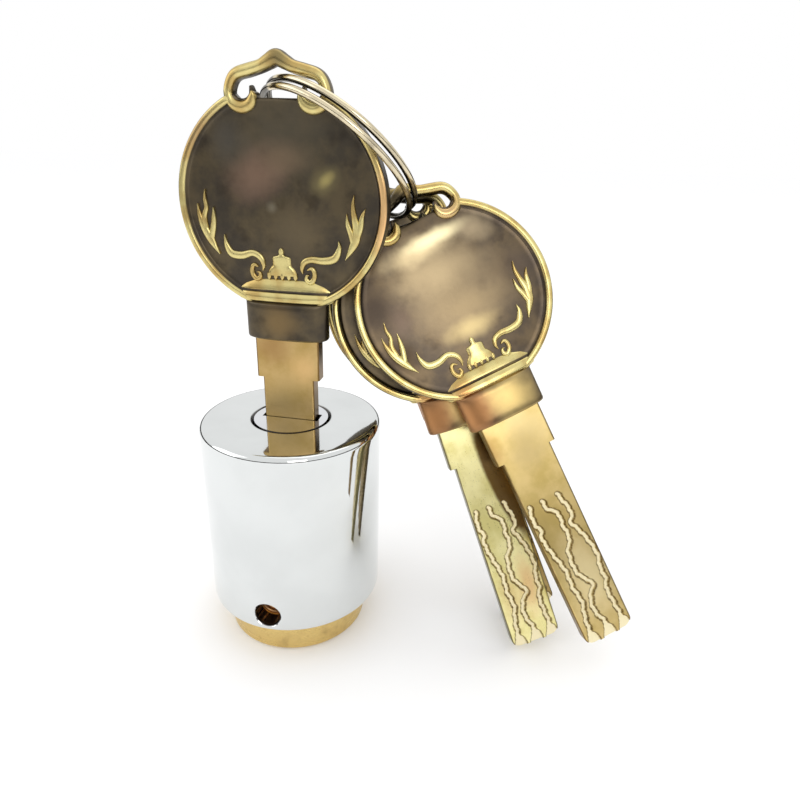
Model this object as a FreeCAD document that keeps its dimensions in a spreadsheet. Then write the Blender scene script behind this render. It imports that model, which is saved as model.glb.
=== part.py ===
import FreeCAD, Part
import math
import os
import Sketcher

Vector = FreeCAD.Vector
Rotation = FreeCAD.Rotation

# Driving dimensions
# Millimetres and degrees. The origin is the centre of the base's bottom face, +Z is up along the
# lock's axis, and the key in the lock shows its front to -Y.
SIZES = [
    ("total_height", 39.2, "height of the lock without its key"),
    ("base_height", 6.8, "bare brass below the chrome shell"),
    ("shell_radius", 15.0, "outside of the chrome shell"),
    ("shell_cap", 2.2, "thickness of the shell's front plate"),
    ("shell_top_round", 1.0, "rounding of the shell's front edge"),
    ("shell_bottom_round", 0.4, "rounding of the shell's lower edge"),
    ("shell_plug_gap", 0.25, "dark ring between the shell and the plug"),
    ("barrel_radius", 12.2, "outside of the brass barrel"),
    ("barrel_chamfer", 0.5, "chamfer round the base"),
    ("press_gap", 0.02, "gap left in the solids at a pressed joint"),
    ("running_gap", 0.05, "radial gap of a turning fit"),
    ("axial_gap", 0.1, "end float of the turning pieces"),
    ("fixing_radius", 2.2, "radius of the threaded fixing hole"),
    ("fixing_level", 9.8, "height of the fixing hole's axis"),
    ("fixing_depth", 6.8, "depth of the fixing hole from the shell's side"),
    ("plug_radius", 6.15, "plug that takes the key"),
    ("plug_shoulder", 9.0, "height of the plug's shoulder"),
    ("stub_radius", 4.2, "tail stub of the plug"),
    ("stub_flat", 3.5, "distance of the stub's flats from the axis"),
    ("stub_bottom", 0.4, "height of the stub's end face"),
    ("drive_slot_width", 2.4, "slot in the stub for the bolt's tail bar"),
    ("drive_slot_depth", 4.0, "depth of that slot"),
    ("keyway_offset", 0.6, "keyway's middle behind the plug's axis"),
    ("keyway_side_gap", 0.5, "keyway beyond each edge of the blade"),
    ("keyway_face_gap", 0.15, "keyway beyond each face of the blade"),
    ("keyway_end_gap", 1.2, "keyway below the blade's tip"),
    ("wafer_count", 10, "wafers in the plug"),
    ("wafer_face_gap", 3.0, "highest wafer's middle below the plug's face"),
    ("wafer_pitch", 2.4, "distance between wafers"),
    ("wafer_thickness", 1.2, "thickness of a wafer"),
    ("wafer_radius", 5.9, "rounded ends of a wafer"),
    ("wafer_half_depth", 2.55, "wafer before and behind the keyway's middle"),
    ("wafer_travel", 0.6, "room of the blade in the wafer's window"),
    ("wafer_gap", 0.05, "gap between a wafer and its slot"),
    ("nub_width", 0.7, "width of a wafer's nub"),
    ("nub_height", 0.1, "nub, cut back so that the key can slide"),
    ("lug_length", 1.7, "spring lug behind a wafer"),
    ("lug_width", 0.65, "width of the spring lug"),
    ("lug_offset", 2.07, "lug's spring side to the left of the axis"),
    ("lug_room", 0.3, "slot beyond the lug towards its spring"),
    ("spring_wire", 0.12, "radius of a spring's wire"),
    ("spring_radius", 0.62, "mean radius of a spring"),
    ("spring_pitch", 0.7, "one turn of a spring"),
    ("spring_turns", 5, "turns of a spring"),
    ("spring_room", 0.2, "gap between the wafers and the springs' wire"),
    ("channel_depth", 1.4, "locking channel outside the plug's bore"),
    ("channel_end_gap", 0.48, "channel above the highest wafer's pitch"),
    ("pin_radius", 1.0, "hardened pin against drilling"),
    ("pin_length", 10.0, "length of that pin"),
    ("pin_circle", 9.2, "distance of the pins from the axis"),
    ("cover_radius", 10.0, "back cover"),
    ("cover_thickness", 1.2, "thickness of the back cover"),
    ("cover_hole_gap", 0.5, "cover's hole beyond the stub"),
    ("web_bottom", 5.0, "height of the web that carries the stub"),
    ("washer_radius", 5.4, "stop washer"),
    ("washer_bottom", 2.6, "height of the washer's lower face"),
    ("washer_thickness", 1.4, "thickness of the stop washer"),
    ("stop_lug_reach", 1.2, "lug beyond the washer's edge"),
    ("stop_lug_width", 2.0, "width of that lug"),
    ("washer_room", 0.2, "room round the washer and its lug"),
    ("turn_limit", 90.0, "turn of the plug each way"),
    ("turn_room", 1.5, "turn left over at the stop, in degrees"),
    ("clip_radius", 5.0, "outside of the circlip"),
    ("clip_inside", 3.6, "inside of the circlip"),
    ("clip_thickness", 0.7, "thickness of the circlip"),
    ("clip_bottom", 1.55, "height of the circlip's lower face"),
    ("clip_mouth", 4.6, "opening of the circlip"),
    ("screw_circle", 8.4, "distance of the cover screws from the axis"),
    ("screw_radius", 0.9, "thread of a cover screw"),
    ("screw_head_radius", 1.6, "head of a cover screw"),
    ("screw_head_depth", 0.8, "countersink of a cover screw"),
    ("screw_length", 4.4, "length of a cover screw"),
    ("screw_slot", 0.4, "width and depth of a screw's slot"),
    ("screw_count", 3, "cover screws"),
    ("bow_radius", 16.05, "round bow of a key"),
    ("bow_thickness", 2.8, "thickness at the bow's rim"),
    ("rim_width", 1.55, "raised rim of the bow"),
    ("field_depth", 0.7, "hollow of the bow's field on each face"),
    ("loop_thickness", 2.6, "scrolled loop on top of the bow"),
    ("loop_hole_sink", 2.05, "bottom of the ring hole below the bow's upper edge"),
    ("loop_hole_half", 3.1, "half the width of the ring hole's neck"),
    ("scroll_across", 5.25, "scroll's eye from the key's middle"),
    ("scroll_sink", 0.95, "scroll's eye below the bow's upper edge"),
    ("scroll_hole_radius", 1.25, "radius of the scroll's eye"),
    ("collar_half", 6.65, "half the width of the collar"),
    ("collar_depth", 4.9, "collar from front to back"),
    ("collar_sink", 1.55, "collar above the bow's lower edge"),
    ("collar_length", 6.1, "length of the collar"),
    ("tang_length", 4.6, "blade's tang inside the collar"),
    ("blade_half", 5.25, "half the width of the blade at the collar"),
    ("blade_root", 6.7, "wide part of the blade below the collar"),
    ("blade_narrow_half", 4.3, "half the width of the narrow blade"),
    ("blade_length", 40.6, "blade from the collar to its tip"),
    ("blade_thickness", 2.4, "thickness of the blade"),
    ("blade_tip_corner", 1.5, "radius of the tip's rounded corners"),
    ("groove_half", 0.45, "half the width of a milled groove"),
    ("groove_depth", 0.5, "depth of a milled groove"),
    ("groove_flare_half", 1.1, "half the width of a groove's mouth at the tip"),
    ("groove_flare_length", 2.4, "length of that mouth"),
    ("key_insertion", 26.9, "key inside the plug, from its face to the tip"),
    ("ring_radius", 13.4, "split ring to the middle of its wire"),
    ("ring_wire", 0.5, "radius of the ring's wire"),
    ("ring_pitch", 1.42, "one turn of the ring above the other"),
    ("ring_climb_start", 18.0, "place on the ring where it climbs to the other turn"),
    ("ring_flat_turn", 270.0, "level part of each turn"),
    ("ring_tilt_side", 32.03, "ring's normal towards +X"),
    ("ring_tilt_back", 29.49, "ring's normal towards +Y"),
    ("fan_yaw", 16.22, "turn of the hanging keys about the upright"),
    ("overrun", 1.0, "how far a cutting tool passes the solid"),
]

# Sums of sizes that several pieces share, all below the bow's centre or above the base
COLLAR_TOP = "bow_radius - collar_sink"
COLLAR_BOTTOM = COLLAR_TOP + " + collar_length"
BLADE_STEP = COLLAR_BOTTOM + " + blade_root"
BLADE_TIP = COLLAR_BOTTOM + " + blade_length"
KEY_TIP_LEVEL = "total_height - key_insertion"
KEY_LEVEL = KEY_TIP_LEVEL + " + " + BLADE_TIP

# Where the ring goes through each key's hole: the angle round the ring, then the place across the
# key and above the bow's upper edge
RING_PLACES = {
    "key_1": (-140.18, 0.025, -0.020),
    "key_2": (9.99, -0.461, -0.057),
    "key_3": (27.82, 0.044, 0.050),
    "key_4": (44.50, -0.017, -0.269),
}

# The hanging keys: lean back and swing to the side, in degrees
HANGING_KEYS = {
    "key_2": (-20.28, -25.28),
    "key_3": (-18.15, -18.22),
    "key_4": (-14.75, -21.11),
}

# Milled grooves of the blade: distance above the tip, and place across the blade
GROOVES = {
    "left": [(25.6, -3.3), (22.9, -3.7), (21.4, -3.2), (19.7, -3.6), (16.9, -3.1), (13.3, -2.3),
             (10.2, -2.4), (7.4, -2.0), (4.9, -2.6)],
    "middle": [(25.6, -1.0), (24.1, -0.7), (22.5, 0.6), (20.5, 0.5), (18.0, 0.6), (16.1, -0.5),
               (12.9, -0.8), (11.0, -0.2), (9.3, 0.9), (7.3, -0.4), (4.9, -0.7)],
    "right": [(25.6, 1.8), (21.9, 2.7), (20.2, 1.9), (18.3, 2.7), (15.4, 3.5), (13.1, 3.7),
              (11.0, 3.2), (9.2, 3.3), (7.3, 2.7), (5.1, 2.8)],
}
GROOVE_MOUTHS = {"left": -2.9, "middle": 0.1, "right": 3.0}

# Left half of the scrolled loop, seen from the front, across and above the bow's upper edge: arcs
# from the apex down the outside to the scroll's end and back along the inside, each as a point on
# the way and an end point
LOOP_APEX = (0.0, 4.05)
LOOP_INNER_APEX = (0.0, 1.85)
LOOP_ARCS = [
    ((-0.55, 3.75), (-1.0, 3.25)),
    ((-2.3, 2.57), (-4.0, 2.25)),
    ((-6.67, 1.23), (-7.85, -1.65)),
    ((-7.1, -3.35), (-5.27, -4.03)),
    ((-3.55, -3.35), (-2.95, -1.95)),
    ((-3.45, -1.15), (-3.95, -1.55)),
    ((-4.5, -2.33), (-5.35, -2.55)),
    ((-6.4, -2.1), (-6.6, -1.15)),
    ((-5.95, 0.1), (-4.6, 0.55)),
    ((-3.2, 0.8), (-1.95, 1.1)),
    ((-0.85, 1.5), LOOP_INNER_APEX),
]

doc = FreeCAD.newDocument("RollerShutterDoorLock")
sheet = doc.addObject("Spreadsheet::Sheet", "Sizes")
for row, (alias, number, meaning) in enumerate(SIZES, start=1):
    sheet.set("A%d" % row, meaning)
    sheet.set("B%d" % row, str(number))
    sheet.setAlias("B%d" % row, alias)
doc.recompute()

PARTS = []


def value(total):
    """The number of a sum of named sizes and plain numbers, such as 'bow_radius - rim_width'."""
    result, sign = 0.0, 1.0
    for word in total.split():
        if word in "+-":
            sign = -1.0 if word == "-" else 1.0
        elif word[0].isdigit():
            result += sign * float(word)
        else:
            result += sign * float(sheet.get(word))
    return result


def tied(total):
    """The same sum as an expression on the sheet's cells."""
    words = [word if word in "+-" or word[0].isdigit() else "Sizes." + word for word in total.split()]
    if words[0] in "+-":
        words[0] = "0 " + words[0]
    return " ".join(words)


def minus(total):
    """The same sum with every sign turned."""
    words = total.split()
    if words[0] not in "+-":
        words.insert(0, "+")
    return " ".join({"+": "-", "-": "+"}.get(word, word) for word in words)


def tie(thing, prop, total):
    """Binds a property to a sum of named sizes."""
    thing.setExpression(prop, tied(total))


def finished(thing, name):
    """Marks an object as a sub-part and names its file."""
    thing.Label = name
    PARTS.append((name, thing))
    return thing


def place(thing, x, y, z):
    """Puts the object's base at a place given by three sums."""
    for axis, total in (("x", x), ("y", y), ("z", z)):
        tie(thing, "Placement.Base." + axis, total)


# Part primitives tied to the sheet
def box(name, x_span, y_span, z_span):
    """A box between two sums along each axis."""
    solid = doc.addObject("Part::Box", name)
    for prop, span in (("Length", x_span), ("Width", y_span), ("Height", z_span)):
        solid.setExpression(prop, "(%s) - (%s)" % (tied(span[1]), tied(span[0])))
    place(solid, x_span[0], y_span[0], z_span[0])
    return solid


def upright(name, radius, z_span, x="0", y="0"):
    """A cylinder along Z between two heights."""
    solid = doc.addObject("Part::Cylinder", name)
    tie(solid, "Radius", radius)
    solid.setExpression("Height", "(%s) - (%s)" % (tied(z_span[1]), tied(z_span[0])))
    place(solid, x, y, z_span[0])
    return solid


def crosswise(name, radius, y_span, x="0", z="0"):
    """A cylinder along Y between two depths."""
    solid = doc.addObject("Part::Cylinder", name)
    tie(solid, "Radius", radius)
    solid.setExpression("Height", "(%s) - (%s)" % (tied(y_span[1]), tied(y_span[0])))
    solid.Placement = FreeCAD.Placement(Vector(0, 0, 0), Rotation(Vector(1, 0, 0), -90))
    place(solid, x, y_span[0], z)
    return solid


def cut(name, base, tool):
    """The base without the tool."""
    result = doc.addObject("Part::Cut", name)
    result.Base = base
    result.Tool = tool
    return result


def fuse(name, shapes):
    """One solid from several."""
    result = doc.addObject("Part::MultiFuse", name)
    result.Shapes = shapes
    return result


def group(name, shapes):
    """Several solids kept apart in one shape."""
    result = doc.addObject("Part::Compound", name)
    result.Links = shapes
    return result


def common(name, shapes):
    """What several shapes share."""
    result = doc.addObject("Part::MultiCommon", name)
    result.Shapes = shapes
    return result


def drawn(name, shape):
    """A shape worked out in code from the sheet's numbers."""
    result = doc.addObject("Part::Feature", name)
    result.Shape = shape
    return result


# PartDesign bodies
def plane_of(body, role):
    """An origin plane or axis of the body."""
    return [feature for feature in body.Origin.OriginFeatures if feature.Role == role][0]


def outline(body, name, role, corners):
    """A closed sketch of straight lines whose corners are sums of named sizes."""
    sketch = body.newObject("Sketcher::SketchObject", name)
    sketch.AttachmentSupport = [(plane_of(body, role), "")]
    sketch.MapMode = "FlatFace"
    spots = [Vector(value(across), value(up), 0) for across, up in corners]
    for index, spot in enumerate(spots):
        sketch.addGeometry(Part.LineSegment(spot, spots[(index + 1) % len(spots)]), False)
    for index in range(len(spots)):
        following = (index + 1) % len(spots)
        sketch.addConstraint(Sketcher.Constraint("Coincident", index, 2, following, 1))
    for index, (across, up) in enumerate(corners):
        for kind, axis, total in (("DistanceX", -2, across), ("DistanceY", -1, up)):
            if value(total) == 0:
                sketch.addConstraint(Sketcher.Constraint("PointOnObject", index, 1, axis))
                continue
            label = "%s_%d" % (kind, index)
            number = sketch.addConstraint(
                Sketcher.Constraint(kind, -1, 1, index, 1, value(total)))
            sketch.renameConstraint(number, label)
            sketch.setExpression("Constraints." + label, tied(total))
    return sketch


def turned_body(name, corners):
    """A body turned about Z from its half section."""
    body = doc.addObject("PartDesign::Body", name)
    section = outline(body, name + "_section", "XZ_Plane", corners)
    turning = body.newObject("PartDesign::Revolution", name + "_turning")
    turning.Profile = section
    turning.ReferenceAxis = (plane_of(body, "Z_Axis"), [""])
    turning.Angle = 360
    section.Visibility = False
    doc.recompute()
    return body


def bore(body, name, radius, z_span, x="0", y="0"):
    """Takes an upright cylinder out of the body."""
    tool = body.newObject("PartDesign::SubtractiveCylinder", name)
    tie(tool, "Radius", radius)
    tool.setExpression("Height", "(%s) - (%s)" % (tied(z_span[1]), tied(z_span[0])))
    place(tool, x, y, z_span[0])
    return tool


def side_bore(body, name, radius, y_span, z):
    """Takes a cylinder along Y out of the body."""
    tool = body.newObject("PartDesign::SubtractiveCylinder", name)
    tie(tool, "Radius", radius)
    tool.setExpression("Height", "(%s) - (%s)" % (tied(y_span[1]), tied(y_span[0])))
    tool.Placement = FreeCAD.Placement(Vector(0, 0, 0), Rotation(Vector(1, 0, 0), -90))
    place(tool, "0", y_span[0], z)
    return tool


def slot(body, name, x_span, y_span, z_span):
    """Takes a box out of the body."""
    tool = body.newObject("PartDesign::SubtractiveBox", name)
    for prop, span in (("Length", x_span), ("Width", y_span), ("Height", z_span)):
        tool.setExpression(prop, "(%s) - (%s)" % (tied(span[1]), tied(span[0])))
    place(tool, x_span[0], y_span[0], z_span[0])
    return tool


def on_screw_circle(thing, step, left="0", front="0"):
    """Puts an object's base at one screw's place, moved left and to the front; first screw in front."""
    angle = math.radians(360.0 * step / value("screw_count") - 90.0)
    for axis, share, less in (("x", math.cos(angle), left), ("y", math.sin(angle), front)):
        thing.setExpression(
            "Placement.Base." + axis, "Sizes.screw_circle * %.6f - (%s)" % (share, less))


# Chrome shell
def outer_shell():
    """Cup with a front plate, a plug hole and the fixing hole in its side."""
    inside = "barrel_radius + press_gap"
    hole = "plug_radius + shell_plug_gap"
    body = turned_body("outer_shell", [
        (inside, "base_height"),
        ("shell_radius", "base_height"),
        ("shell_radius", "total_height"),
        (hole, "total_height"),
        (hole, "total_height - shell_cap"),
        (inside, "total_height - shell_cap"),
    ])
    side_bore(body, "shell_fixing_hole", "fixing_radius",
              ("- shell_radius - overrun", "- barrel_radius + fixing_radius"), "fixing_level")
    doc.recompute()
    for name, size, level in (("top_round", "shell_top_round", value("total_height")),
                              ("bottom_round", "shell_bottom_round", value("base_height"))):
        edges = [
            "Edge%d" % (index + 1) for index, edge in enumerate(body.Shape.Edges)
            if len(edge.Vertexes) == 1 and abs(edge.BoundBox.ZMin - level) < 0.001
            and abs(edge.BoundBox.ZMax - level) < 0.001
            and abs(edge.BoundBox.XMax - value("shell_radius")) < 0.001
        ]
        before = body.Tip
        rounding = body.newObject("PartDesign::Fillet", name)
        rounding.Base = (before, edges)
        tie(rounding, "Radius", size)
        doc.recompute()
    return finished(body, "outer_shell")


# Brass barrel
def lock_barrel():
    """Stepped barrel: bore for the plug, web for its stub, recess for the washer and the cover."""
    seat = "cover_radius + running_gap"
    recess = "washer_radius + washer_room"
    top = "total_height - shell_cap - press_gap"
    body = turned_body("lock_barrel", [
        (seat, "0"),
        ("barrel_radius - barrel_chamfer", "0"),
        ("barrel_radius", "barrel_chamfer"),
        ("barrel_radius", top),
        ("plug_radius + running_gap", top),
        ("plug_radius + running_gap", "plug_shoulder"),
        ("stub_radius + running_gap", "plug_shoulder"),
        ("stub_radius + running_gap", "web_bottom"),
        (recess, "web_bottom"),
        (recess, "cover_thickness"),
        (seat, "cover_thickness"),
    ])
    side_bore(body, "barrel_fixing_hole", "fixing_radius",
              ("- shell_radius", "fixing_depth - shell_radius"), "fixing_level")
    reach = "plug_radius + channel_depth"
    for name, low, high in (("left", minus(reach), "0"), ("right", "0", reach)):
        channel = slot(body, name + "_channel", (low, high),
                       ("keyway_offset - wafer_half_depth", "keyway_offset + wafer_half_depth"),
                       ("0", "wafer_thickness + channel_end_gap"))
        channel.setExpression("Height", "Sizes.wafer_count * Sizes.wafer_pitch"
                              " + Sizes.wafer_thickness + Sizes.channel_end_gap")
        channel.setExpression("Placement.Base.z", "Sizes.total_height - Sizes.wafer_face_gap"
                              " - Sizes.wafer_count * Sizes.wafer_pitch")
    for name, y in (("front", "- pin_circle"), ("back", "pin_circle")):
        bore(body, name + "_pin_hole", "pin_radius + press_gap",
             (top + " - pin_length", top + " + overrun"), "0", y)
    for step in range(int(value("screw_count"))):
        hole = body.newObject("PartDesign::SubtractiveCylinder", "screw_hole_%d" % (step + 1))
        tie(hole, "Radius", "screw_radius + press_gap")
        tie(hole, "Height", "screw_length")
        on_screw_circle(hole, step)
        tie(hole, "Placement.Base.z", "press_gap")
    spread = stop_angle() + value("turn_limit + turn_room")
    sector = body.newObject("PartDesign::SubtractiveCylinder", "stop_recess")
    tie(sector, "Radius", "washer_radius + stop_lug_reach + washer_room")
    tie(sector, "Height", "web_bottom - cover_thickness")
    sector.Angle = 2 * spread
    sector.Placement = FreeCAD.Placement(Vector(0, 0, 0), Rotation(Vector(0, 0, 1), 90 - spread))
    tie(sector, "Placement.Base.z", "cover_thickness")
    doc.recompute()
    return finished(body, "lock_barrel")


def stop_angle():
    """Half the angle that the washer's lug takes up, in degrees."""
    return math.degrees(math.asin(value("stop_lug_width") / 2 / value("washer_radius")))


def drill_guard_pins():
    """Two hardened pins in the barrel's front, before and behind the plug."""
    top = "total_height - shell_cap - press_gap"
    pins = [
        upright(side + "_guard_pin", "pin_radius", (top + " - pin_length + press_gap", top), "0", y)
        for side, y in (("front", "- pin_circle"), ("back", "pin_circle"))
    ]
    return finished(group("guard_pins", pins), "drill_guard_pins")


def back_cover():
    """Round plate that closes the recess, with countersunk holes."""
    disc = upright("cover_disc", "cover_radius", ("0", "cover_thickness - press_gap"))
    tools = [upright("cover_hole", "stub_radius + cover_hole_gap",
                     ("- overrun", "cover_thickness + overrun"))]
    for step in range(int(value("screw_count"))):
        tools.append(screw_shape("cover_countersink_%d" % (step + 1), step, "press_gap"))
    return finished(cut("cover_plate", disc, fuse("cover_holes", tools)), "back_cover")


def screw_shape(name, step, gap):
    """A countersunk screw's outer shape, point up, larger all round by the gap."""
    head = doc.addObject("Part::Cone", name + "_head")
    tie(head, "Radius1", "screw_head_radius + " + gap)
    tie(head, "Radius2", "screw_radius + " + gap)
    tie(head, "Height", "screw_head_depth")
    shank = upright(name + "_shank", "screw_radius + " + gap, ("0", "screw_length"))
    whole = fuse(name, [head, shank])
    on_screw_circle(whole, step)
    return whole


def cover_screws():
    """Slotted countersunk screws, level with the cover's face."""
    screws = []
    for step in range(int(value("screw_count"))):
        name = "cover_screw_%d" % (step + 1)
        whole = screw_shape(name + "_blank", step, "0")
        groove = box(name + "_slot",
                     ("- screw_head_radius - overrun", "screw_head_radius + overrun"),
                     ("0", "screw_slot"), ("- overrun", "screw_slot"))
        on_screw_circle(groove, step, "Sizes.screw_head_radius + Sizes.overrun",
                        "Sizes.screw_slot / 2")
        screws.append(cut(name, whole, groove))
    return finished(group("screw_set", screws), "cover_screws")


# Plug and what turns with it
def wafer_level(index):
    """Height of one wafer's middle, as an expression and as a number, the lowest wafer first."""
    below = int(value("wafer_count")) - 1 - index
    return (
        "Sizes.total_height - Sizes.wafer_face_gap - %d * Sizes.wafer_pitch" % below,
        value("total_height - wafer_face_gap") - below * value("wafer_pitch"),
    )


def plug():
    """Turned plug with the keyway, a slot for each wafer, the tail stub and its drive slot."""
    body = turned_body("plug", [
        ("0", "stub_bottom"),
        ("stub_radius", "stub_bottom"),
        ("stub_radius", "plug_shoulder + axial_gap"),
        ("plug_radius", "plug_shoulder + axial_gap"),
        ("plug_radius", "total_height"),
        ("0", "total_height"),
    ])
    side = "blade_narrow_half + keyway_side_gap"
    keyway = slot(body, "keyway", ("- blade_narrow_half - keyway_side_gap", side),
                  ("0", "blade_thickness + keyway_face_gap + keyway_face_gap"),
                  (KEY_TIP_LEVEL + " - keyway_end_gap", "total_height + overrun"))
    keyway.setExpression("Placement.Base.y", "Sizes.keyway_offset - Sizes.blade_thickness / 2"
                         " - Sizes.keyway_face_gap")
    back = "keyway_offset + wafer_half_depth + wafer_gap"
    for index in range(int(value("wafer_count"))):
        level = wafer_level(index)[0]
        low = level + " - Sizes.wafer_thickness / 2 - Sizes.wafer_gap"
        tool = slot(body, "wafer_slot_%d" % (index + 1),
                    ("- plug_radius - overrun", "plug_radius + overrun"),
                    ("keyway_offset - wafer_half_depth - wafer_gap", back),
                    ("0", "wafer_thickness + wafer_gap + wafer_gap"))
        tool.setExpression("Placement.Base.z", low)
        tool = slot(body, "lug_slot_%d" % (index + 1),
                    ("- lug_offset - lug_width - wafer_gap - wafer_gap", "- lug_offset + lug_room"),
                    ("keyway_offset", back + " + lug_length"),
                    ("0", "wafer_thickness + wafer_gap + wafer_gap"))
        tool.setExpression("Placement.Base.z", low)
        pocket = body.newObject("PartDesign::SubtractiveCylinder", "spring_pocket_%d" % (index + 1))
        tie(pocket, "Radius", "spring_radius + spring_wire + wafer_gap + wafer_gap")
        pocket.setExpression(
            "Height", "Sizes.spring_pitch * Sizes.spring_turns + 4 * Sizes.spring_wire")
        pocket.Placement = FreeCAD.Placement(Vector(0, 0, 0), Rotation(Vector(0, 1, 0), 90))
        tie(pocket, "Placement.Base.x", "- lug_offset")
        tie(pocket, "Placement.Base.y", spring_depth())
        pocket.setExpression("Placement.Base.z", level)
    drive = slot(body, "drive_slot", ("- stub_radius - overrun", "stub_radius + overrun"),
                 ("0", "drive_slot_width"),
                 ("stub_bottom - overrun", "stub_bottom + drive_slot_depth"))
    drive.setExpression("Placement.Base.y", "0 - Sizes.drive_slot_width / 2")
    for name, low, high in (("left_flat", "- stub_radius - overrun", "- stub_flat"),
                            ("right_flat", "stub_flat", "stub_radius + overrun")):
        slot(body, name, (low, high), ("- stub_radius - overrun", "stub_radius + overrun"),
             ("stub_bottom - overrun", "washer_bottom + washer_thickness"))
    doc.recompute()
    groove_section = outline(body, "clip_groove_section", "XZ_Plane", [
        ("clip_inside - running_gap", "clip_bottom - running_gap"),
        ("stub_radius + overrun", "clip_bottom - running_gap"),
        ("stub_radius + overrun", "clip_bottom + clip_thickness + running_gap"),
        ("clip_inside - running_gap", "clip_bottom + clip_thickness + running_gap"),
    ])
    groove = body.newObject("PartDesign::Groove", "clip_groove")
    groove.Profile = groove_section
    groove.ReferenceAxis = (plane_of(body, "Z_Axis"), [""])
    groove.Angle = 360
    doc.recompute()
    return finished(body, "plug")


def spring_depth():
    """Distance of the springs' axes behind the plug's axis."""
    return "keyway_offset + wafer_half_depth + spring_radius + spring_wire + spring_room"


def groove_place(height, path):
    """Place across the blade of a milled groove at a height above the tip."""
    for (upper, here), (lower, there) in zip(path, path[1:]):
        if lower <= height <= upper:
            return here + (there - here) * (upper - height) / (upper - lower)
    return path[0][1] if height > path[0][0] else path[-1][1]


def wafer(index):
    """Flat wafer with rounded ends, a window for the blade, a nub and a lug for its spring."""
    name = "wafer_%d" % (index + 1)
    expression, level = wafer_level(index)
    disc = upright(name + "_ends", "wafer_radius", ("0", "wafer_thickness"))
    sides = box(name + "_sides", ("- wafer_radius", "wafer_radius"),
                ("keyway_offset - wafer_half_depth", "keyway_offset + wafer_half_depth"),
                ("0", "wafer_thickness"))
    plate = common(name + "_plate", [disc, sides])
    lug = box(name + "_lug", ("- lug_offset - lug_width", "- lug_offset"),
              ("keyway_offset", "keyway_offset + wafer_half_depth + lug_length"),
              ("0", "wafer_thickness"))
    window = box(name + "_window",
                 ("- blade_narrow_half - wafer_travel", "blade_narrow_half + wafer_travel"),
                 ("0", "blade_thickness + keyway_face_gap + keyway_face_gap"),
                 ("- overrun", "wafer_thickness + overrun"))
    window.setExpression("Placement.Base.y", "Sizes.keyway_offset - Sizes.blade_thickness / 2"
                         " - Sizes.keyway_face_gap")
    nub = box(name + "_nub", ("0", "nub_width"), ("0", "nub_height"), ("0", "wafer_thickness"))
    across = groove_place(level - value(KEY_TIP_LEVEL), GROOVES["middle"])
    nub.setExpression("Placement.Base.x", "%.3f - Sizes.nub_width / 2" % across)
    if index % 2 == 0:
        nub.setExpression("Placement.Base.y", "Sizes.keyway_offset - Sizes.blade_thickness / 2"
                          " - Sizes.keyway_face_gap")
    else:
        nub.setExpression("Placement.Base.y", "Sizes.keyway_offset + Sizes.blade_thickness / 2"
                          " + Sizes.keyway_face_gap - Sizes.nub_height")
    framed = cut(name + "_frame", fuse(name + "_blank", [plate, lug]), window)
    whole = fuse(name + "_whole", [framed, nub])
    whole.setExpression("Placement.Base.z", expression + " - Sizes.wafer_thickness / 2")
    return finished(whole, name)


def arc_from(start, tangent, end):
    """The arc that leaves start along the tangent and ends at end."""
    chord = end - start
    along = Vector(chord).normalize()
    aside = Vector(tangent).normalize() - along * along.dot(Vector(tangent).normalize())
    turn = along.getAngle(tangent)
    if turn < 1e-6:
        return Part.LineSegment(start, end).toShape()
    middle = (start + end) * 0.5 + aside.normalize() * (chord.Length / 2 * math.tan(turn / 2))
    return Part.Arc(start, middle, end).toShape()


def biarc(start, start_tangent, end, end_tangent):
    """Two arcs that meet smoothly and join two points with given tangents."""
    span = end - start
    first = Vector(start_tangent).normalize()
    last = Vector(end_tangent).normalize()
    both = first + last
    square = 2 * (first.dot(last) - 1)
    linear = -2 * span.dot(both)
    constant = span.dot(span)
    if abs(square) < 1e-9:
        reach = -constant / linear
    else:
        root = math.sqrt(linear * linear - 4 * square * constant)
        reach = min(
            (candidate for candidate in ((-linear - root) / (2 * square), (-linear + root) / (2 * square))
             if candidate > 0))
    joint = (start + first * reach + end - last * reach) * 0.5
    middle_tangent = (end - last * reach) - (start + first * reach)
    return [arc_from(start, first, joint), arc_from(joint, middle_tangent, end)]


def wound_wire(name, places, radius):
    """A round wire swept along arcs through places, each a point and a tangent."""
    edges = []
    for (start, first), (end, last) in zip(places, places[1:]):
        edges.extend(biarc(start, first, end, last))
    path = Part.Wire(edges)
    circle = Part.Circle(places[0][0], places[0][1], radius)
    tube = path.makePipeShell([Part.Wire([circle.toShape()])], True, False)
    expected = math.pi * radius * radius * path.Length
    print(name, "wire length %.1f mm, volume %.3f of section times length"
          % (path.Length, tube.Volume / expected))
    if tube.Volume < 0:
        tube.reverse()
    return tube, path


def least_gap(path, radius, near):
    """The least gap of a wound wire to itself, measured on points along its path."""
    count = 600
    points = path.discretize(Number=count)
    step = path.Length / (count - 1)
    skip = int(near / step) + 1
    least = min(
        points[low].distanceToPoint(points[high])
        for low in range(0, count, 2) for high in range(low + skip, count, 2))
    return least - 2 * radius


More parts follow.
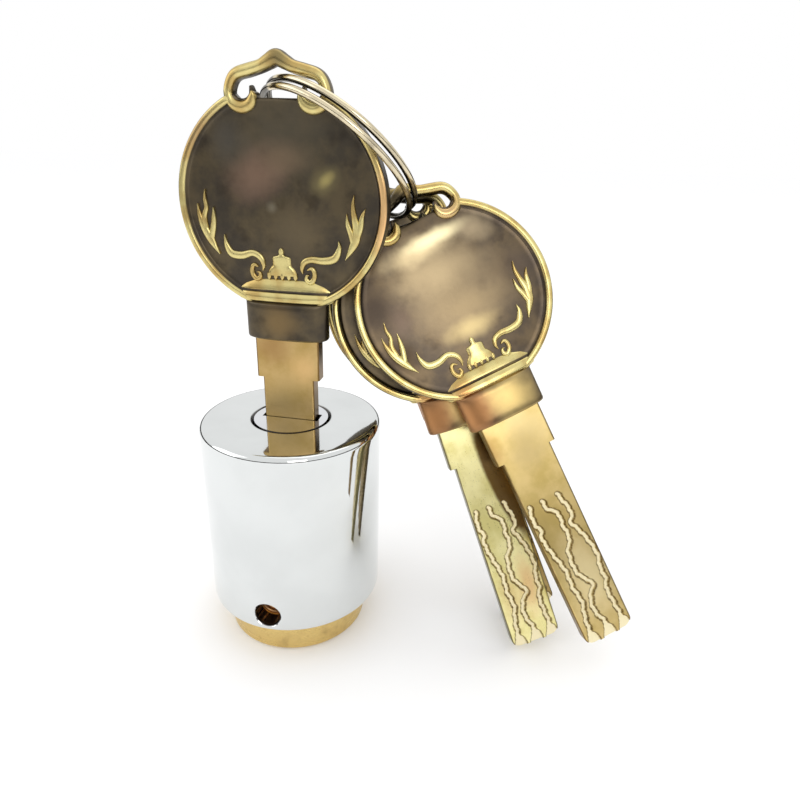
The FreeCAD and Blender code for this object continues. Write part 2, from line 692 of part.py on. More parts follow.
def wafer_springs():
    """One coil spring behind each wafer, wound about X."""
    wire, radius = value("spring_wire"), value("spring_radius")
    pitch, turns = value("spring_pitch"), int(value("spring_turns"))
    springs = []
    start_x = 2 * wire - value("lug_offset")
    places = []
    for quarter in range(4 * turns + 1):
        angle = math.pi / 2 * quarter
        along = start_x + pitch * quarter / 4
        point = Vector(along, radius * math.cos(angle), radius * math.sin(angle))
        slope = pitch / (2 * math.pi * radius)
        places.append((point, Vector(slope, -math.sin(angle), math.cos(angle))))
    spring, path = wound_wire("wafer spring", places, wire)
    print("wafer spring least gap %.2f mm" % least_gap(path, wire, math.pi * radius))
    for index in range(int(value("wafer_count"))):
        copy = drawn("wafer_spring_%d" % (index + 1), spring)
        copy.Placement = FreeCAD.Placement(
            Vector(0, value(spring_depth()), wafer_level(index)[1]), Rotation())
        springs.append(copy)
    return finished(group("spring_set", springs), "wafer_springs")


def stop_washer():
    """Washer keyed on the stub's flats, with the lug that stops the turn."""
    levels = ("washer_bottom", "washer_bottom + washer_thickness")
    disc = upright("washer_disc", "washer_radius", levels)
    lug = box("washer_lug", ("0", "stop_lug_width"),
              ("stub_radius", "washer_radius + stop_lug_reach"), levels)
    lug.setExpression("Placement.Base.x", "0 - Sizes.stop_lug_width / 2")
    deep = ("washer_bottom - overrun", "washer_bottom + washer_thickness + overrun")
    hole = common("washer_hole", [
        upright("washer_hole_round", "stub_radius + press_gap", deep),
        box("washer_hole_flats", ("- stub_flat - press_gap", "stub_flat + press_gap"),
            ("- stub_radius - overrun", "stub_radius + overrun"), deep),
    ])
    return finished(cut("washer", fuse("washer_blank", [disc, lug]), hole), "stop_washer")


def circlip():
    """Open ring in the stub's groove."""
    levels = ("clip_bottom", "clip_bottom + clip_thickness")
    deep = ("clip_bottom - overrun", "clip_bottom + clip_thickness + overrun")
    mouth = box("clip_mouth_cut", ("0", "clip_mouth"), ("- clip_radius - overrun", "0"), deep)
    mouth.setExpression("Placement.Base.x", "0 - Sizes.clip_mouth / 2")
    tools = fuse("clip_tools", [upright("clip_hole", "clip_inside", deep), mouth])
    return finished(cut("clip", upright("clip_disc", "clip_radius", levels), tools), "circlip")


# Keys
def mirrored(point):
    """The same place on the other side of the key."""
    return (-point[0], point[1])


def loop_shape():
    """The scrolled loop as one plate, from the left half's arcs and their mirror."""
    front = -value("loop_thickness") / 2

    def spot(point):
        return Vector(point[0], front, value("bow_radius") + point[1])

    edges = []
    for flip in (lambda point: point, mirrored):
        start = LOOP_APEX
        for via, end in LOOP_ARCS:
            arc = Part.Arc(spot(flip(start)), spot(flip(via)), spot(flip(end)))
            edges.append(arc.toShape())
            start = end
    face = Part.Face(Part.Wire(Part.__sortEdges__(edges)))
    return face.extrude(Vector(0, value("loop_thickness"), 0))


def bow(name):
    """Round bow with a raised rim, the scrolled loop for the ring and the collar for the blade."""
    disc = crosswise(name + "_disc", "bow_radius", ("0", "bow_thickness"))
    disc.setExpression("Placement.Base.y", "0 - Sizes.bow_thickness / 2")
    tools = []
    for side in ("front", "back"):
        field = crosswise(name + "_" + side + "_field", "bow_radius - rim_width",
                          ("0", "field_depth + overrun"))
        if side == "front":
            field.setExpression(
                "Placement.Base.y", "0 - Sizes.bow_thickness / 2 - Sizes.overrun")
        else:
            field.setExpression("Placement.Base.y", "Sizes.bow_thickness / 2 - Sizes.field_depth")
        tools.append(field)
    through = ("- bow_thickness", "bow_thickness")
    tools.append(box(name + "_neck_cut", ("- loop_hole_half", "loop_hole_half"), through,
                     ("bow_radius - loop_hole_sink", "bow_radius + overrun")))
    for side, sign in (("left", "- "), ("right", "")):
        tools.append(crosswise(name + "_" + side + "_scroll_cut", "scroll_hole_radius", through,
                               sign + "scroll_across", "bow_radius - scroll_sink"))
    plate = cut(name + "_plate", disc, fuse(name + "_cuts", tools))
    loop = drawn(name + "_loop", loop_shape())
    oval = doc.addObject("Part::Ellipse", name + "_collar_oval")
    tie(oval, "MajorRadius", "collar_half")
    oval.setExpression("MinorRadius", "Sizes.collar_depth / 2")
    tie(oval, "Placement.Base.z", minus(COLLAR_BOTTOM))
    collar = doc.addObject("Part::Extrusion", name + "_collar")
    collar.Base = oval
    collar.DirMode = "Custom"
    collar.Dir = Vector(0, 0, 1)
    collar.Solid = True
    tie(collar, "LengthFwd", "collar_length")
    tang_hole = box(name + "_tang_hole", ("- blade_half - press_gap", "blade_half + press_gap"),
                    ("0", "blade_thickness + press_gap + press_gap"),
                    (minus(COLLAR_BOTTOM) + " - overrun",
                     minus(COLLAR_BOTTOM) + " + tang_length + press_gap"))
    tang_hole.setExpression("Placement.Base.y", "0 - Sizes.blade_thickness / 2 - Sizes.press_gap")
    return cut(name + "_body", fuse(name + "_blank", [plate, loop, collar]), tang_hole)


def groove_shape(path, mouth):
    """One milled groove: a round start, a wavy run and a flared mouth at the tip."""
    tip = value(BLADE_TIP)
    half = value("groove_half")
    flare = value("groove_flare_half")
    middle = [Vector(across, 0, above - tip) for above, across in path]
    middle.append(Vector(mouth, 0, value("groove_flare_length") - tip))
    line = Part.BSplineCurve()
    line.interpolate(middle)
    first, last = line.FirstParameter, line.LastParameter
    count = 3 * len(middle)
    sides = {1: [], -1: []}
    for step in range(count + 1):
        where = first + (last - first) * step / count
        point = line.value(where)
        tangent = line.tangent(where)[0]
        aside = Vector(-tangent.z, 0, tangent.x)
        for side in sides:
            sides[side].append(point + aside * (side * half))
    curves = []
    for side in (1, -1):
        curve = Part.BSplineCurve()
        curve.interpolate(sides[side])
        curves.append(curve.toShape())
    start = middle[0]
    heading = line.tangent(first)[0]
    cap = Part.Arc(sides[1][0], start - heading * half, sides[-1][0]).toShape()
    end = value(BLADE_TIP + " + overrun")
    hand = outward(sides, mouth)
    corners = [
        sides[-1][-1],
        Vector(mouth + flare * hand, 0, -end),
        Vector(mouth - flare * hand, 0, -end),
        sides[1][-1],
    ]
    mouth_edges = [Part.LineSegment(corners[i], corners[i + 1]).toShape() for i in range(3)]
    wire = Part.Wire(Part.__sortEdges__([cap] + curves + mouth_edges))
    return Part.Face(wire).extrude(Vector(0, value("groove_depth + overrun"), 0))


def outward(sides, mouth):
    """The side of the mouth's middle on which the groove's second edge ends: -1 or 1."""
    return 1 if sides[-1][-1].x > mouth else -1


def tip_corner(side, surface, past):
    """What a corner of the blade's tip loses to its rounding: the square outside a quarter round."""
    corner = value("blade_tip_corner")
    edge, tip = value("blade_narrow_half"), value(BLADE_TIP)
    front = -surface - past
    lower = Vector(side * (edge - corner), front, -tip)
    upper = Vector(side * edge, front, corner - tip)
    reach = corner * (1 - math.sqrt(0.5))
    middle = Vector(side * (edge - reach), front, reach - tip)
    outside = [
        upper,
        Vector(side * (edge + past), front, corner - tip),
        Vector(side * (edge + past), front, -tip - past),
        Vector(side * (edge - corner), front, -tip - past),
        lower,
    ]
    border = Part.Wire([Part.Arc(lower, middle, upper).toShape()] + Part.makePolygon(outside).Edges)
    return Part.Face(border).extrude(Vector(0, 2 * (surface + past), 0))


def blade(name):
    """Blade: tang, wide root, narrow front part with three milled grooves on each face."""
    wide = box(name + "_wide", ("- blade_half", "blade_half"), ("0", "blade_thickness"),
               (minus(BLADE_STEP), minus(COLLAR_BOTTOM) + " + tang_length"))
    narrow = box(name + "_narrow", ("- blade_narrow_half", "blade_narrow_half"),
                 ("0", "blade_thickness"), (minus(BLADE_TIP), minus(BLADE_STEP) + " + overrun"))
    for piece in (wide, narrow):
        piece.setExpression("Placement.Base.y", "0 - Sizes.blade_thickness / 2")
    blank = fuse(name + "_blank", [wide, narrow])
    tools = []
    surface = value("blade_thickness") / 2
    past = value("overrun")
    for side, y in (("front", -surface - past), ("back", surface - value("groove_depth"))):
        for line in GROOVES:
            shape = groove_shape(GROOVES[line], GROOVE_MOUTHS[line])
            shape.translate(Vector(0, y, 0))
            tools.append(drawn("%s_%s_%s_groove" % (name, side, line), shape))
    for side in (-1, 1):
        tools.append(drawn("%s_%s_corner" % (name, "left" if side < 0 else "right"),
                           tip_corner(side, surface, past)))
    return cut(name + "_body", blank, fuse(name + "_cuts", tools))


def key_turn(lean, swing):
    """How a hanging key stands: turned about the upright, leaned back, swung to the side."""
    yaw = Rotation(Vector(0, 0, 1), value("fan_yaw"))
    return yaw.multiply(Rotation(Vector(1, 0, 0), lean)).multiply(Rotation(Vector(0, 1, 0), swing))


def ring_axes():
    """The ring's normal and two directions in its plane."""
    side = math.radians(value("ring_tilt_side"))
    back = math.radians(value("ring_tilt_back"))
    normal = Vector(math.sin(side) * math.cos(back), math.sin(back), math.cos(side) * math.cos(back))
    first = Vector(0, 1, 0).cross(normal).normalize()
    return normal, first, normal.cross(first)


def on_ring(degrees):
    """A place round the ring, from its centre, and the wire's direction there."""
    first, second = ring_axes()[1:]
    angle = math.radians(degrees)
    out = first * math.cos(angle) + second * math.sin(angle)
    along = second * math.cos(angle) - first * math.sin(angle)
    return out * value("ring_radius"), along


def ring_centre():
    """The ring's centre: the ring goes through the hole of the key in the lock."""
    degrees, across, above = RING_PLACES["key_1"]
    hole = Vector(across, value("keyway_offset"), value(KEY_LEVEL + " + bow_radius") + above)
    return hole - on_ring(degrees)[0]


def keys():
    """The key in the lock and the three keys that hang on its ring."""
    places = {"key_1": FreeCAD.Placement(
        Vector(0, value("keyway_offset"), value(KEY_LEVEL)), Rotation())}
    for name, (lean, swing) in HANGING_KEYS.items():
        degrees, across, above = RING_PLACES[name]
        turn = key_turn(lean, swing)
        hole = turn.multVec(Vector(across, 0, value("bow_radius") + above))
        places[name] = FreeCAD.Placement(ring_centre() + on_ring(degrees)[0] - hole, turn)
    for name, placement in places.items():
        for piece, maker in (("bow", bow), ("blade", blade)):
            solid = maker(name + "_" + piece)
            solid.Placement = placement
            finished(solid, name + "_" + piece)


# Split ring
def split_ring():
    """Two turns of round wire: level arcs, with one climb from the lower turn to the upper."""
    normal = ring_axes()[0]
    pitch, wire = value("ring_pitch"), value("ring_wire")
    climb, flat = value("ring_climb_start"), value("ring_flat_turn")
    steps = int(math.ceil(flat / 90.0))
    places = []
    for start, level in ((climb - flat, -pitch / 2), (climb + 360.0 - flat, pitch / 2)):
        for step in range(steps + 1):
            spot, along = on_ring(start + flat * step / steps)
            places.append((ring_centre() + spot + normal * level, along))
    ring, path = wound_wire("split ring", places, wire)
    print("split ring least gap %.2f mm" % least_gap(path, wire, 3 * value("ring_radius")))
    return finished(drawn("ring_wire_solid", ring), "split_ring")


outer_shell()
lock_barrel()
back_cover()
cover_screws()
drill_guard_pins()
plug()
stop_washer()
circlip()
for wafer_index in range(int(value("wafer_count"))):
    wafer(wafer_index)
wafer_springs()
keys()
split_ring()
doc.recompute()

faults = [thing.Name for thing in doc.Objects if "Invalid" in thing.State or "Error" in thing.State]
for part_name, part in PARTS:
    if part.Shape.isNull() or not part.Shape.isValid():
        faults.append(part_name)
if faults:
    raise RuntimeError("these objects failed: " + ", ".join(faults))

os.makedirs("parts", exist_ok=True)
for part_name, part in PARTS:
    part.Shape.exportStep(os.path.join("parts", part_name + ".step"))
    box_of = part.Shape.BoundBox
    print("%-20s solids %2d volume %9.2f z %.2f to %.2f" % (
        part_name, len(part.Shape.Solids), part.Shape.Volume, box_of.ZMin, box_of.ZMax))
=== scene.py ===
"""Roller shutter door lock with one key in it and three more keys on its split ring.

The chrome shell, the keys, the ring and the thread are surfaces worked out here and stand for their
solids; the other pieces keep their solids and get a finish. Lengths are in millimetres until a mesh
is written.
"""
import logging
import math
from dataclasses import dataclass, field
from enum import Enum
from typing import Iterable, Sequence, Union

import bmesh
import bpy
import numpy as np
from mathutils import Matrix, Vector


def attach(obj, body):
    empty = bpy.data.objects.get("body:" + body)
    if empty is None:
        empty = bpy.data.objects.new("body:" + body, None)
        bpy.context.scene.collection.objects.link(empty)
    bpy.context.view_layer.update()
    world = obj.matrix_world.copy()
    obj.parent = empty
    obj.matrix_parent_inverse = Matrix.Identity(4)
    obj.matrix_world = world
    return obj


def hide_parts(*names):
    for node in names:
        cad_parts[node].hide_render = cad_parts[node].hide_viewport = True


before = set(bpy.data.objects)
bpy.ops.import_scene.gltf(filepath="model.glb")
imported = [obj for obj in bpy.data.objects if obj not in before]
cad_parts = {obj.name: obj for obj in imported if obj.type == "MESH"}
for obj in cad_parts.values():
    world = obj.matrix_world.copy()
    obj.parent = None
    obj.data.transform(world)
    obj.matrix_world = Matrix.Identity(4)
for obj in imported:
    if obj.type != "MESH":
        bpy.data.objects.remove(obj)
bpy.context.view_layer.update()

LOG = logging.getLogger("door_lock")
MM = 0.001
WELD = 0.002 * MM
SLACK = 0.001  # a length or a sine that counts as none

Array = np.ndarray
Triple = tuple[float, float, float]
Colour = Triple
Spot = tuple[float, float]
Source = Union["Wire", float, Sequence[float]]


# Shader maths
class Wire:
    """A socket of a node tree that arithmetic works on."""

    def __init__(self, graph: "Graph", socket: bpy.types.NodeSocket) -> None:
        """Keeps the socket and the graph that its maths is added to."""
        self.graph = graph
        self.socket = socket

    def _maths(self, operation: str, first: Source, second: Source) -> "Wire":
        """Adds one Math node.

        Args:
            operation: The Math node's operation.
            first: The first operand.
            second: The second operand.

        Returns:
            The node's result.
        """
        return self.graph.node("ShaderNodeMath", {"operation": operation}, {0: first, 1: second})

    def __add__(self, other: Source) -> "Wire":
        """Sum with a number or a wire."""
        return self._maths("ADD", self, other)

    def __radd__(self, other: Source) -> "Wire":
        """Sum with the number on the left."""
        return self._maths("ADD", other, self)

    def __sub__(self, other: Source) -> "Wire":
        """Difference."""
        return self._maths("SUBTRACT", self, other)

    def __rsub__(self, other: Source) -> "Wire":
        """Difference with the number on the left."""
        return self._maths("SUBTRACT", other, self)

    def __mul__(self, other: Source) -> "Wire":
        """Product."""
        return self._maths("MULTIPLY", self, other)

    def __rmul__(self, other: Source) -> "Wire":
        """Product with the number on the left."""
        return self._maths("MULTIPLY", other, self)

    def __truediv__(self, other: Source) -> "Wire":
        """Quotient."""
        return self._maths("DIVIDE", self, other)

    def __pow__(self, other: Source) -> "Wire":
        """Power."""
        return self._maths("POWER", self, other)

    def larger(self, other: Source) -> "Wire":
        """The larger of two values."""
        return self._maths("MAXIMUM", self, other)

    def spread(self, amount: float) -> "Wire":
        """A noise about its middle, times an amount."""
        return (self - 0.5) * amount

    def between(self, low: float, high: float) -> "Wire":
        """Smooth step from 0 at low to 1 at high.

        Args:
            low: The value that gives 0.
            high: The value that gives 1.

        Returns:
            The step.
        """
        return self.graph.node("ShaderNodeMapRange", {"interpolation_type": "SMOOTHSTEP"},
                               {"Value": self, "From Min": low, "From Max": high})


class Graph:
    """The node tree of one material or of the world."""

    def __init__(self, tree: bpy.types.NodeTree) -> None:
        """Empties the tree."""
        self.tree = tree
        tree.nodes.clear()

    def node(self, kind: str, settings: dict | None = None, inputs: dict | None = None,
             output: Union[int, str] = 0) -> Wire:
        """Adds any node.

        Args:
            kind: The node's type.
            settings: Its properties, which are set first.
            inputs: The value or the wire of each socket, by name or number.
            output: The socket that is returned.

        Returns:
            The chosen output, or the first socket of a node that has none.
        """
        made = self.tree.nodes.new(kind)
        for name, setting in (settings or {}).items():
            setattr(made, name, setting)
        for name, source in (inputs or {}).items():
            if isinstance(source, Wire):
                self.tree.links.new(source.socket, made.inputs[name])
            else:
                made.inputs[name].default_value = source
        return Wire(self, made.outputs[output]) if len(made.outputs) else Wire(self, made.inputs[0])

    def place(self) -> Wire:
        """Object coordinates, in metres."""
        return self.node("ShaderNodeTexCoord", output="Object")

    def attribute(self, name: str, output: str = "Fac") -> Wire:
        """A value that the mesh carries at its points."""
        return self.node("ShaderNodeAttribute", {"attribute_name": name}, output=output)

    def noise(self, where: Wire, scale: float, detail: float, roughness: float) -> Wire:
        """Smooth noise between 0 and 1."""
        return self.node("ShaderNodeTexNoise", None,
                         {"Vector": where, "Scale": scale, "Detail": detail, "Roughness": roughness})

    def stretched(self, where: Wire, scale: Sequence[float]) -> Wire:
        """Coordinates scaled by axis, for scratches and brushing."""
        return self.node("ShaderNodeVectorMath", {"operation": "MULTIPLY"}, {0: where, 1: scale})

    def component(self, where: Wire, centre: Spot, way: Spot) -> Wire:
        """How far a place lies from a point of the key's plane, along a direction of that plane.

        Args:
            where: The place.
            centre: Across and up of the point.
            way: Across and up of the direction, of length 1.

        Returns:
            The distance, with its sign.
        """
        reach = self.node("ShaderNodeVectorMath", {"operation": "DOT_PRODUCT"},
                          {0: where, 1: (way[0], 0.0, way[1])}, output="Value")
        return reach - (centre[0] * way[0] + centre[1] * way[1])

    def mix(self, factor: Source, first: Source, second: Source) -> Wire:
        """Colour between two colours.

        Args:
            factor: 0 for the first colour, 1 for the second.
            first: A colour or a wire.
            second: A colour or a wire.

        Returns:
            The mixed colour.
        """
        colours = [source if isinstance(source, Wire) else (*source, 1.0) for source in (first, second)]
        return self.node("ShaderNodeMix", {"data_type": "RGBA"},
                         {0: factor, 6: colours[0], 7: colours[1]}, output=2)

    def bump(self, height: Wire, relief: Spot) -> Wire:
        """A normal bumped by a height from 0 to 1, with a relief's strength and its millimetres."""
        return self.node("ShaderNodeBump", None,
                         {"Height": height, "Strength": relief[0], "Distance": relief[1] * MM})

    def end(self, kind: str, inputs: dict, output: str = "ShaderNodeOutputMaterial") -> None:
        """Ends the tree in one shader that is joined to its output node."""
        self.node(output, None, {"Surface": self.node(kind, None, inputs)})


# Finishes
def new_material(name: str) -> tuple[bpy.types.Material, Graph]:
    """A new material with an empty tree.

    Args:
        name: The material's name.

    Returns:
        The material and the graph of its nodes.
    """
    made = bpy.data.materials.new(name)
    made.use_nodes = True
    return made, Graph(made.node_tree)


def scaled(colour: Colour, factors: Sequence[float]) -> Colour:
    """A colour whose channels are multiplied by their own factors."""
    return tuple(part * factor for part, factor in zip(colour, factors))


class Tone(Enum):
    """Base colours of the metals, linear."""

    CHROME = (0.73, 0.75, 0.745)
    BRASS = (0.74, 0.55, 0.22)
    PATINA = (0.066, 0.056, 0.044)
    BRIGHT_EDGE = (0.70, 0.60, 0.26)
    BLADE = (0.76, 0.58, 0.25)
    # Pale groove: fresh-cut metal and a painted highlight.
    GROOVE_AND_HIGHLIGHT = (0.97, 0.88, 0.60)
    NICKEL = (0.72, 0.63, 0.44)
    STEEL = (0.55, 0.55, 0.56)


@dataclass(frozen=True)
class Finish:
    """A metal's finish: each kind paints its own pattern on one Principled shader.

    Relief is the strength of its bump and the bump's height in millimetres. A noise is given by its
    scale, detail and roughness, with the scale per metre on object coordinates and per millimetre in
    a key's own frame. A range is where a smooth step starts and ends, a share is how much of a colour
    shows, a fray breaks a border up, and rough is what is added to the roughness.
    """

    name: str
    tone: Colour
    roughness: float
    metallic: float = 1.0
    relief: Spot = (0.1, 0.01)

    def material(self) -> bpy.types.Material:
        """The material of this finish.

        Returns:
            A new material with its nodes.
        """
        made, graph = new_material(self.name)
        sockets = {"Metallic": self.metallic}
        sockets.update(self.paint(graph))
        graph.end("ShaderNodeBsdfPrincipled", sockets)
        return made

    def paint(self, graph: Graph) -> dict[str, Source]:
        """What varies over the surface, by the shader's socket."""
        raise NotImplementedError


@dataclass(frozen=True)
class Patch:
    """A place on a key painted another colour, for a tone of its metal and on some keys for painted
    light and shade: across and up in the key's own plane.

    It reaches its radius, and stretch times as far along the direction that turn gives in degrees.
    Share is how much of its colour shows, core the part of the radius that it covers fully, and fray
    how far its border is broken up.
    """

    centre: Spot
    radius: float
    colour: Colour
    share: float
    stretch: float = 1.0
    turn: float = 0.0
    core: float = 0.05
    fray: float = 0.55

    def over(self, graph: Graph, place: Wire, colour: Source, grain: Wire) -> Wire:
        """Lays the patch over a colour.

        Args:
            graph: The material's graph.
            place: Coordinates in the key's frame.
            colour: What lies below.
            grain: A noise that breaks the patch's border up.

        Returns:
            The colour with the patch.
        """
        cosine, sine = math.cos(math.radians(self.turn)), math.sin(math.radians(self.turn))
        ahead = graph.component(place, self.centre, (cosine, sine)) / (self.radius * self.stretch)
        aside = graph.component(place, self.centre, (-sine, cosine)) / self.radius
        away = (ahead * ahead + aside * aside) ** 0.5
        ragged = away + grain.spread(self.fray) * (1.0 - self.core)
        near = 1.0 - ragged.between(self.core, 1.0)
        return graph.mix(near * self.share, colour, self.colour)


@dataclass(frozen=True)
class Polished(Finish):
    """Mirror plating: faint haze, wipe marks, a few fine scratches, grime and painted shade in the seams.
    """

    haze: float = 0.05
    dimmed: Triple = (0.94, 0.94, 0.94)
    grime_and_shade: Colour = (0.05, 0.04, 0.035)
    grime_and_shade_share: float = 0.92
    cloud: Triple = (90.0, 4.0, 0.5)
    cloud_range: Spot = (0.35, 0.7)
    scratch_scale: Triple = (5200.0, 5200.0, 260.0)
    scratch: Triple = (1.0, 2.0, 0.5)
    mark_range: Spot = (0.62, 0.78)
    mark_rough: float = 0.05
    seam_rough: float = 0.25
    seam_fray: float = 0.3
    seam_range: Spot = (0.35, 0.75)
    relief: Spot = (0.02, 0.01)

    def paint(self, graph: Graph) -> dict[str, Source]:
        """Haze and scratches from noises; grime and painted shade where the carried value seam is high.

        Args:
            graph: The material's graph.

        Returns:
            What varies over the surface, by the shader's socket.
        """
        place = graph.place()
        cloud = graph.noise(place, *self.cloud)
        scratch = graph.noise(graph.stretched(place, self.scratch_scale), *self.scratch)
        marks = scratch.between(*self.mark_range)
        seam = (graph.attribute("seam") + cloud.spread(self.seam_fray)).between(*self.seam_range)
        rough = self.roughness + cloud * self.haze + marks * self.mark_rough + seam * self.seam_rough
        tint = graph.mix(cloud.between(*self.cloud_range), self.tone, scaled(self.tone, self.dimmed))
        # Seams take a dark colour: grime, and painted shade in the bevels and inside the holes.
        tint = graph.mix(seam * self.grime_and_shade_share, tint, self.grime_and_shade)
        return {"Base Color": tint, "Roughness": rough, "Normal": graph.bump(scratch, self.relief)}


@dataclass(frozen=True)
class Turned(Finish):
    """Turned metal: fine lines round an upright axis, and stains."""

    line: float = 0.12
    stain: Colour = (0.38, 0.24, 0.09)
    round_scale: float = 60.0
    lines: Triple = (1.0, 3.0, 0.5)
    line_rough: float = 0.12
    cloud: Triple = (160.0, 5.0, 0.6)
    cloud_range: Spot = (0.52, 0.74)
    spots: Triple = (900.0, 3.0, 0.5)
    spot_range: Spot = (0.6, 0.75)
    stain_shares: Spot = (0.6, 0.3)
    stain_rough: float = 0.15
    relief: Spot = (0.25, 0.02)

    def paint(self, graph: Graph) -> dict[str, Source]:
        """Lines from noise that is stretched round the part, stains from a coarse noise.

        Args:
            graph: The material's graph.

        Returns:
            What varies over the surface, by the shader's socket.
        """
        place = graph.place()
        fine = (self.round_scale, self.round_scale, 1.0 / (self.line * MM))
        lines = graph.noise(graph.stretched(place, fine), *self.lines)
        cloud = graph.noise(place, *self.cloud)
        spots = graph.noise(place, *self.spots)
        stained = (cloud.between(*self.cloud_range) * self.stain_shares[0]
                   + spots.between(*self.spot_range) * self.stain_shares[1])
        tint = graph.mix(stained, self.tone, self.stain)
        rough = self.roughness + lines * self.line_rough + stained * self.stain_rough
        return {"Base Color": tint, "Roughness": rough, "Normal": graph.bump(lines, self.relief)}


@dataclass(frozen=True)
class Antique(Finish):
    """Antique brass: dark patina in the hollows, rubbed bright on what stands out."""

    bright: Colour = Tone.BRIGHT_EDGE.value
    patches: tuple[Patch, ...] = ()
    edge_patches: tuple[Patch, ...] = ()
    cleaner: Triple = (1.9, 1.75, 1.35)
    blacker: Triple = (0.55, 0.52, 0.52)
    worn_dull: Triple = (0.74, 0.62, 0.52)
    worn_dark: Triple = (0.45, 0.45, 0.45)
    cloud: Triple = (0.17, 4.0, 0.6)
    cloud_range: Spot = (0.34, 0.68)
    blotch: Triple = (0.30, 3.0, 0.45)
    blotch_share: float = 0.5
    blotch_range: Spot = (0.52, 0.74)
    worn_range: Spot = (0.38, 0.66)
    speckle: Triple = (2.6, 4.0, 0.65)
    speckle_share: float = 0.35
    speckle_rough: float = 0.08
    speckle_range: Spot = (0.56, 0.80)
    brush_scale: Triple = (0.5, 0.5, 7.0)
    brush: Triple = (1.0, 3.0, 0.5)
    rubbed_range: Spot = (0.34, 0.70)
    rubbed_frays: Spot = (0.14, 0.30)
    rubbed_smooth: float = 0.07
    heights: Triple = (0.4, 0.3, 0.3)
    relief: Spot = (0.14, 0.05)

    def paint(self, graph: Graph) -> dict[str, Source]:
        """Bright metal where the carried value raised is high, and clouded patina elsewhere.

        Args:
            graph: The material's graph.

        Returns:
            What varies over the surface, by the shader's socket.
        """
        place = graph.attribute("key_place", "Vector")
        raised = graph.attribute("raised")
        cloud = graph.noise(place, *self.cloud)
        blotch = graph.noise(place, *self.blotch)
        speckle = graph.noise(place, *self.speckle)
        brushed = graph.noise(graph.stretched(place, self.brush_scale), *self.brush)
        patina = graph.mix(cloud.between(*self.cloud_range), self.tone, scaled(self.tone, self.cleaner))
        patina = graph.mix(blotch.between(*self.blotch_range) * self.blotch_share, patina,
                           scaled(self.tone, self.blacker))
        # Patches over the patina: tones, and on some keys painted sheen and shade.
        for patch in self.patches:
            patina = patch.over(graph, place, patina, blotch)
        rubbed = raised + speckle.spread(self.rubbed_frays[0]) + blotch.spread(self.rubbed_frays[1])
        rubbed = rubbed.between(*self.rubbed_range)
        worn = graph.mix(blotch.between(*self.worn_range), self.bright,
                         scaled(self.bright, self.worn_dull))
        # Patches over the rubbed metal: on some keys painted reflection and shade.
        for patch in self.edge_patches:
            worn = patch.over(graph, place, worn, blotch)
        worn = graph.mix(speckle.between(*self.speckle_range) * self.speckle_share, worn,
                         scaled(self.bright, self.worn_dark))
        colour = graph.mix(rubbed, patina, worn)
        rough = self.roughness - rubbed * self.rubbed_smooth + speckle.spread(self.speckle_rough)
        high, middle, low = self.heights
        height = speckle * high + brushed * middle + blotch * low
        return {"Base Color": colour, "Roughness": rough, "Normal": graph.bump(height, self.relief)}


@dataclass(frozen=True)
class Milled(Finish):
    """Milled brass: pale matt grooves, partly a painted highlight, with rims of painted shade, fine lines
    along the blade, and dull sides with painted shade.
    """

    # Pale groove colour: fresh-cut metal and a painted highlight.
    groove: Colour = Tone.GROOVE_AND_HIGHLIGHT.value
    # Dark rims of the grooves: painted shade.
    groove_rim: Colour = (0.11, 0.065, 0.022)
    # Blade sides: dull metal and painted shade.
    side: Colour = (0.12, 0.065, 0.02)
    patches: tuple[Patch, ...] = ()
    duller: Triple = (0.80, 0.78, 0.62)
    line_scale: Triple = (9.0, 9.0, 0.35)
    lines: Triple = (1.0, 3.0, 0.5)
    line_rough: float = 0.12
    line_height: float = 0.5
    cloud: Triple = (0.22, 4.0, 0.6)
    cloud_range: Spot = (0.35, 0.7)
    blotch: Triple = (0.5, 4.0, 0.55)
    chatter: Triple = (4.2, 3.0, 0.5)
    chatter_rough: float = 0.1
    chatter_range: Spot = (0.3, 0.6)
    rim_shares: Spot = (0.5, 0.45)
    side_range: Spot = (0.30, 0.85)
    side_fray: float = 0.5
    side_share: float = 0.85
    cut_range: Spot = (0.42, 0.84)
    matt_range: Spot = (0.4, 0.9)
    matt_rough: float = 0.22
    relief: Spot = (0.18, 0.03)

    def paint(self, graph: Graph) -> dict[str, Source]:
        """The carried value groove gives the pale cuts, partly a painted highlight, and the border value
        their rims of painted shade; edge gives the sides, dull metal with painted shade.

        Args:
            graph: The material's graph.

        Returns:
            What varies over the surface, by the shader's socket.
        """
        place = graph.attribute("key_place", "Vector")
        cut = graph.attribute("groove")
        rim = graph.attribute("groove_rim")
        edge = graph.attribute("edge")
        lines = graph.noise(graph.stretched(place, self.line_scale), *self.lines)
        cloud = graph.noise(place, *self.cloud)
        blotch = graph.noise(place, *self.blotch)
        chatter = graph.noise(place, *self.chatter)
        tint = graph.mix(cloud.between(*self.cloud_range), self.tone, scaled(self.tone, self.duller))
        # Patches: tones, and on the third blade the painted shadow of the second key.
        for patch in self.patches:
            tint = patch.over(graph, place, tint, blotch)
        # Sides: dull metal and painted shade.
        dull = (edge + blotch.spread(self.side_fray)).between(*self.side_range)
        tint = graph.mix(dull * self.side_share, tint, self.side)
        # Pale cuts: fresh-cut metal and a painted highlight.
        tint = graph.mix(cut.between(*self.cut_range), tint, self.groove)
        broken, whole = self.rim_shares
        # Rims of the cuts: painted shade.
        shaded = rim * (chatter.between(*self.chatter_range) * broken + whole)
        tint = graph.mix(shaded, tint, self.groove_rim)
        matt = cut.between(*self.matt_range)
        rough = (self.roughness + lines * self.line_rough + matt * self.matt_rough
                 + chatter.spread(self.chatter_rough))
        height = lines * self.line_height + chatter * cut
        return {"Base Color": tint, "Roughness": rough, "Normal": graph.bump(height, self.relief)}


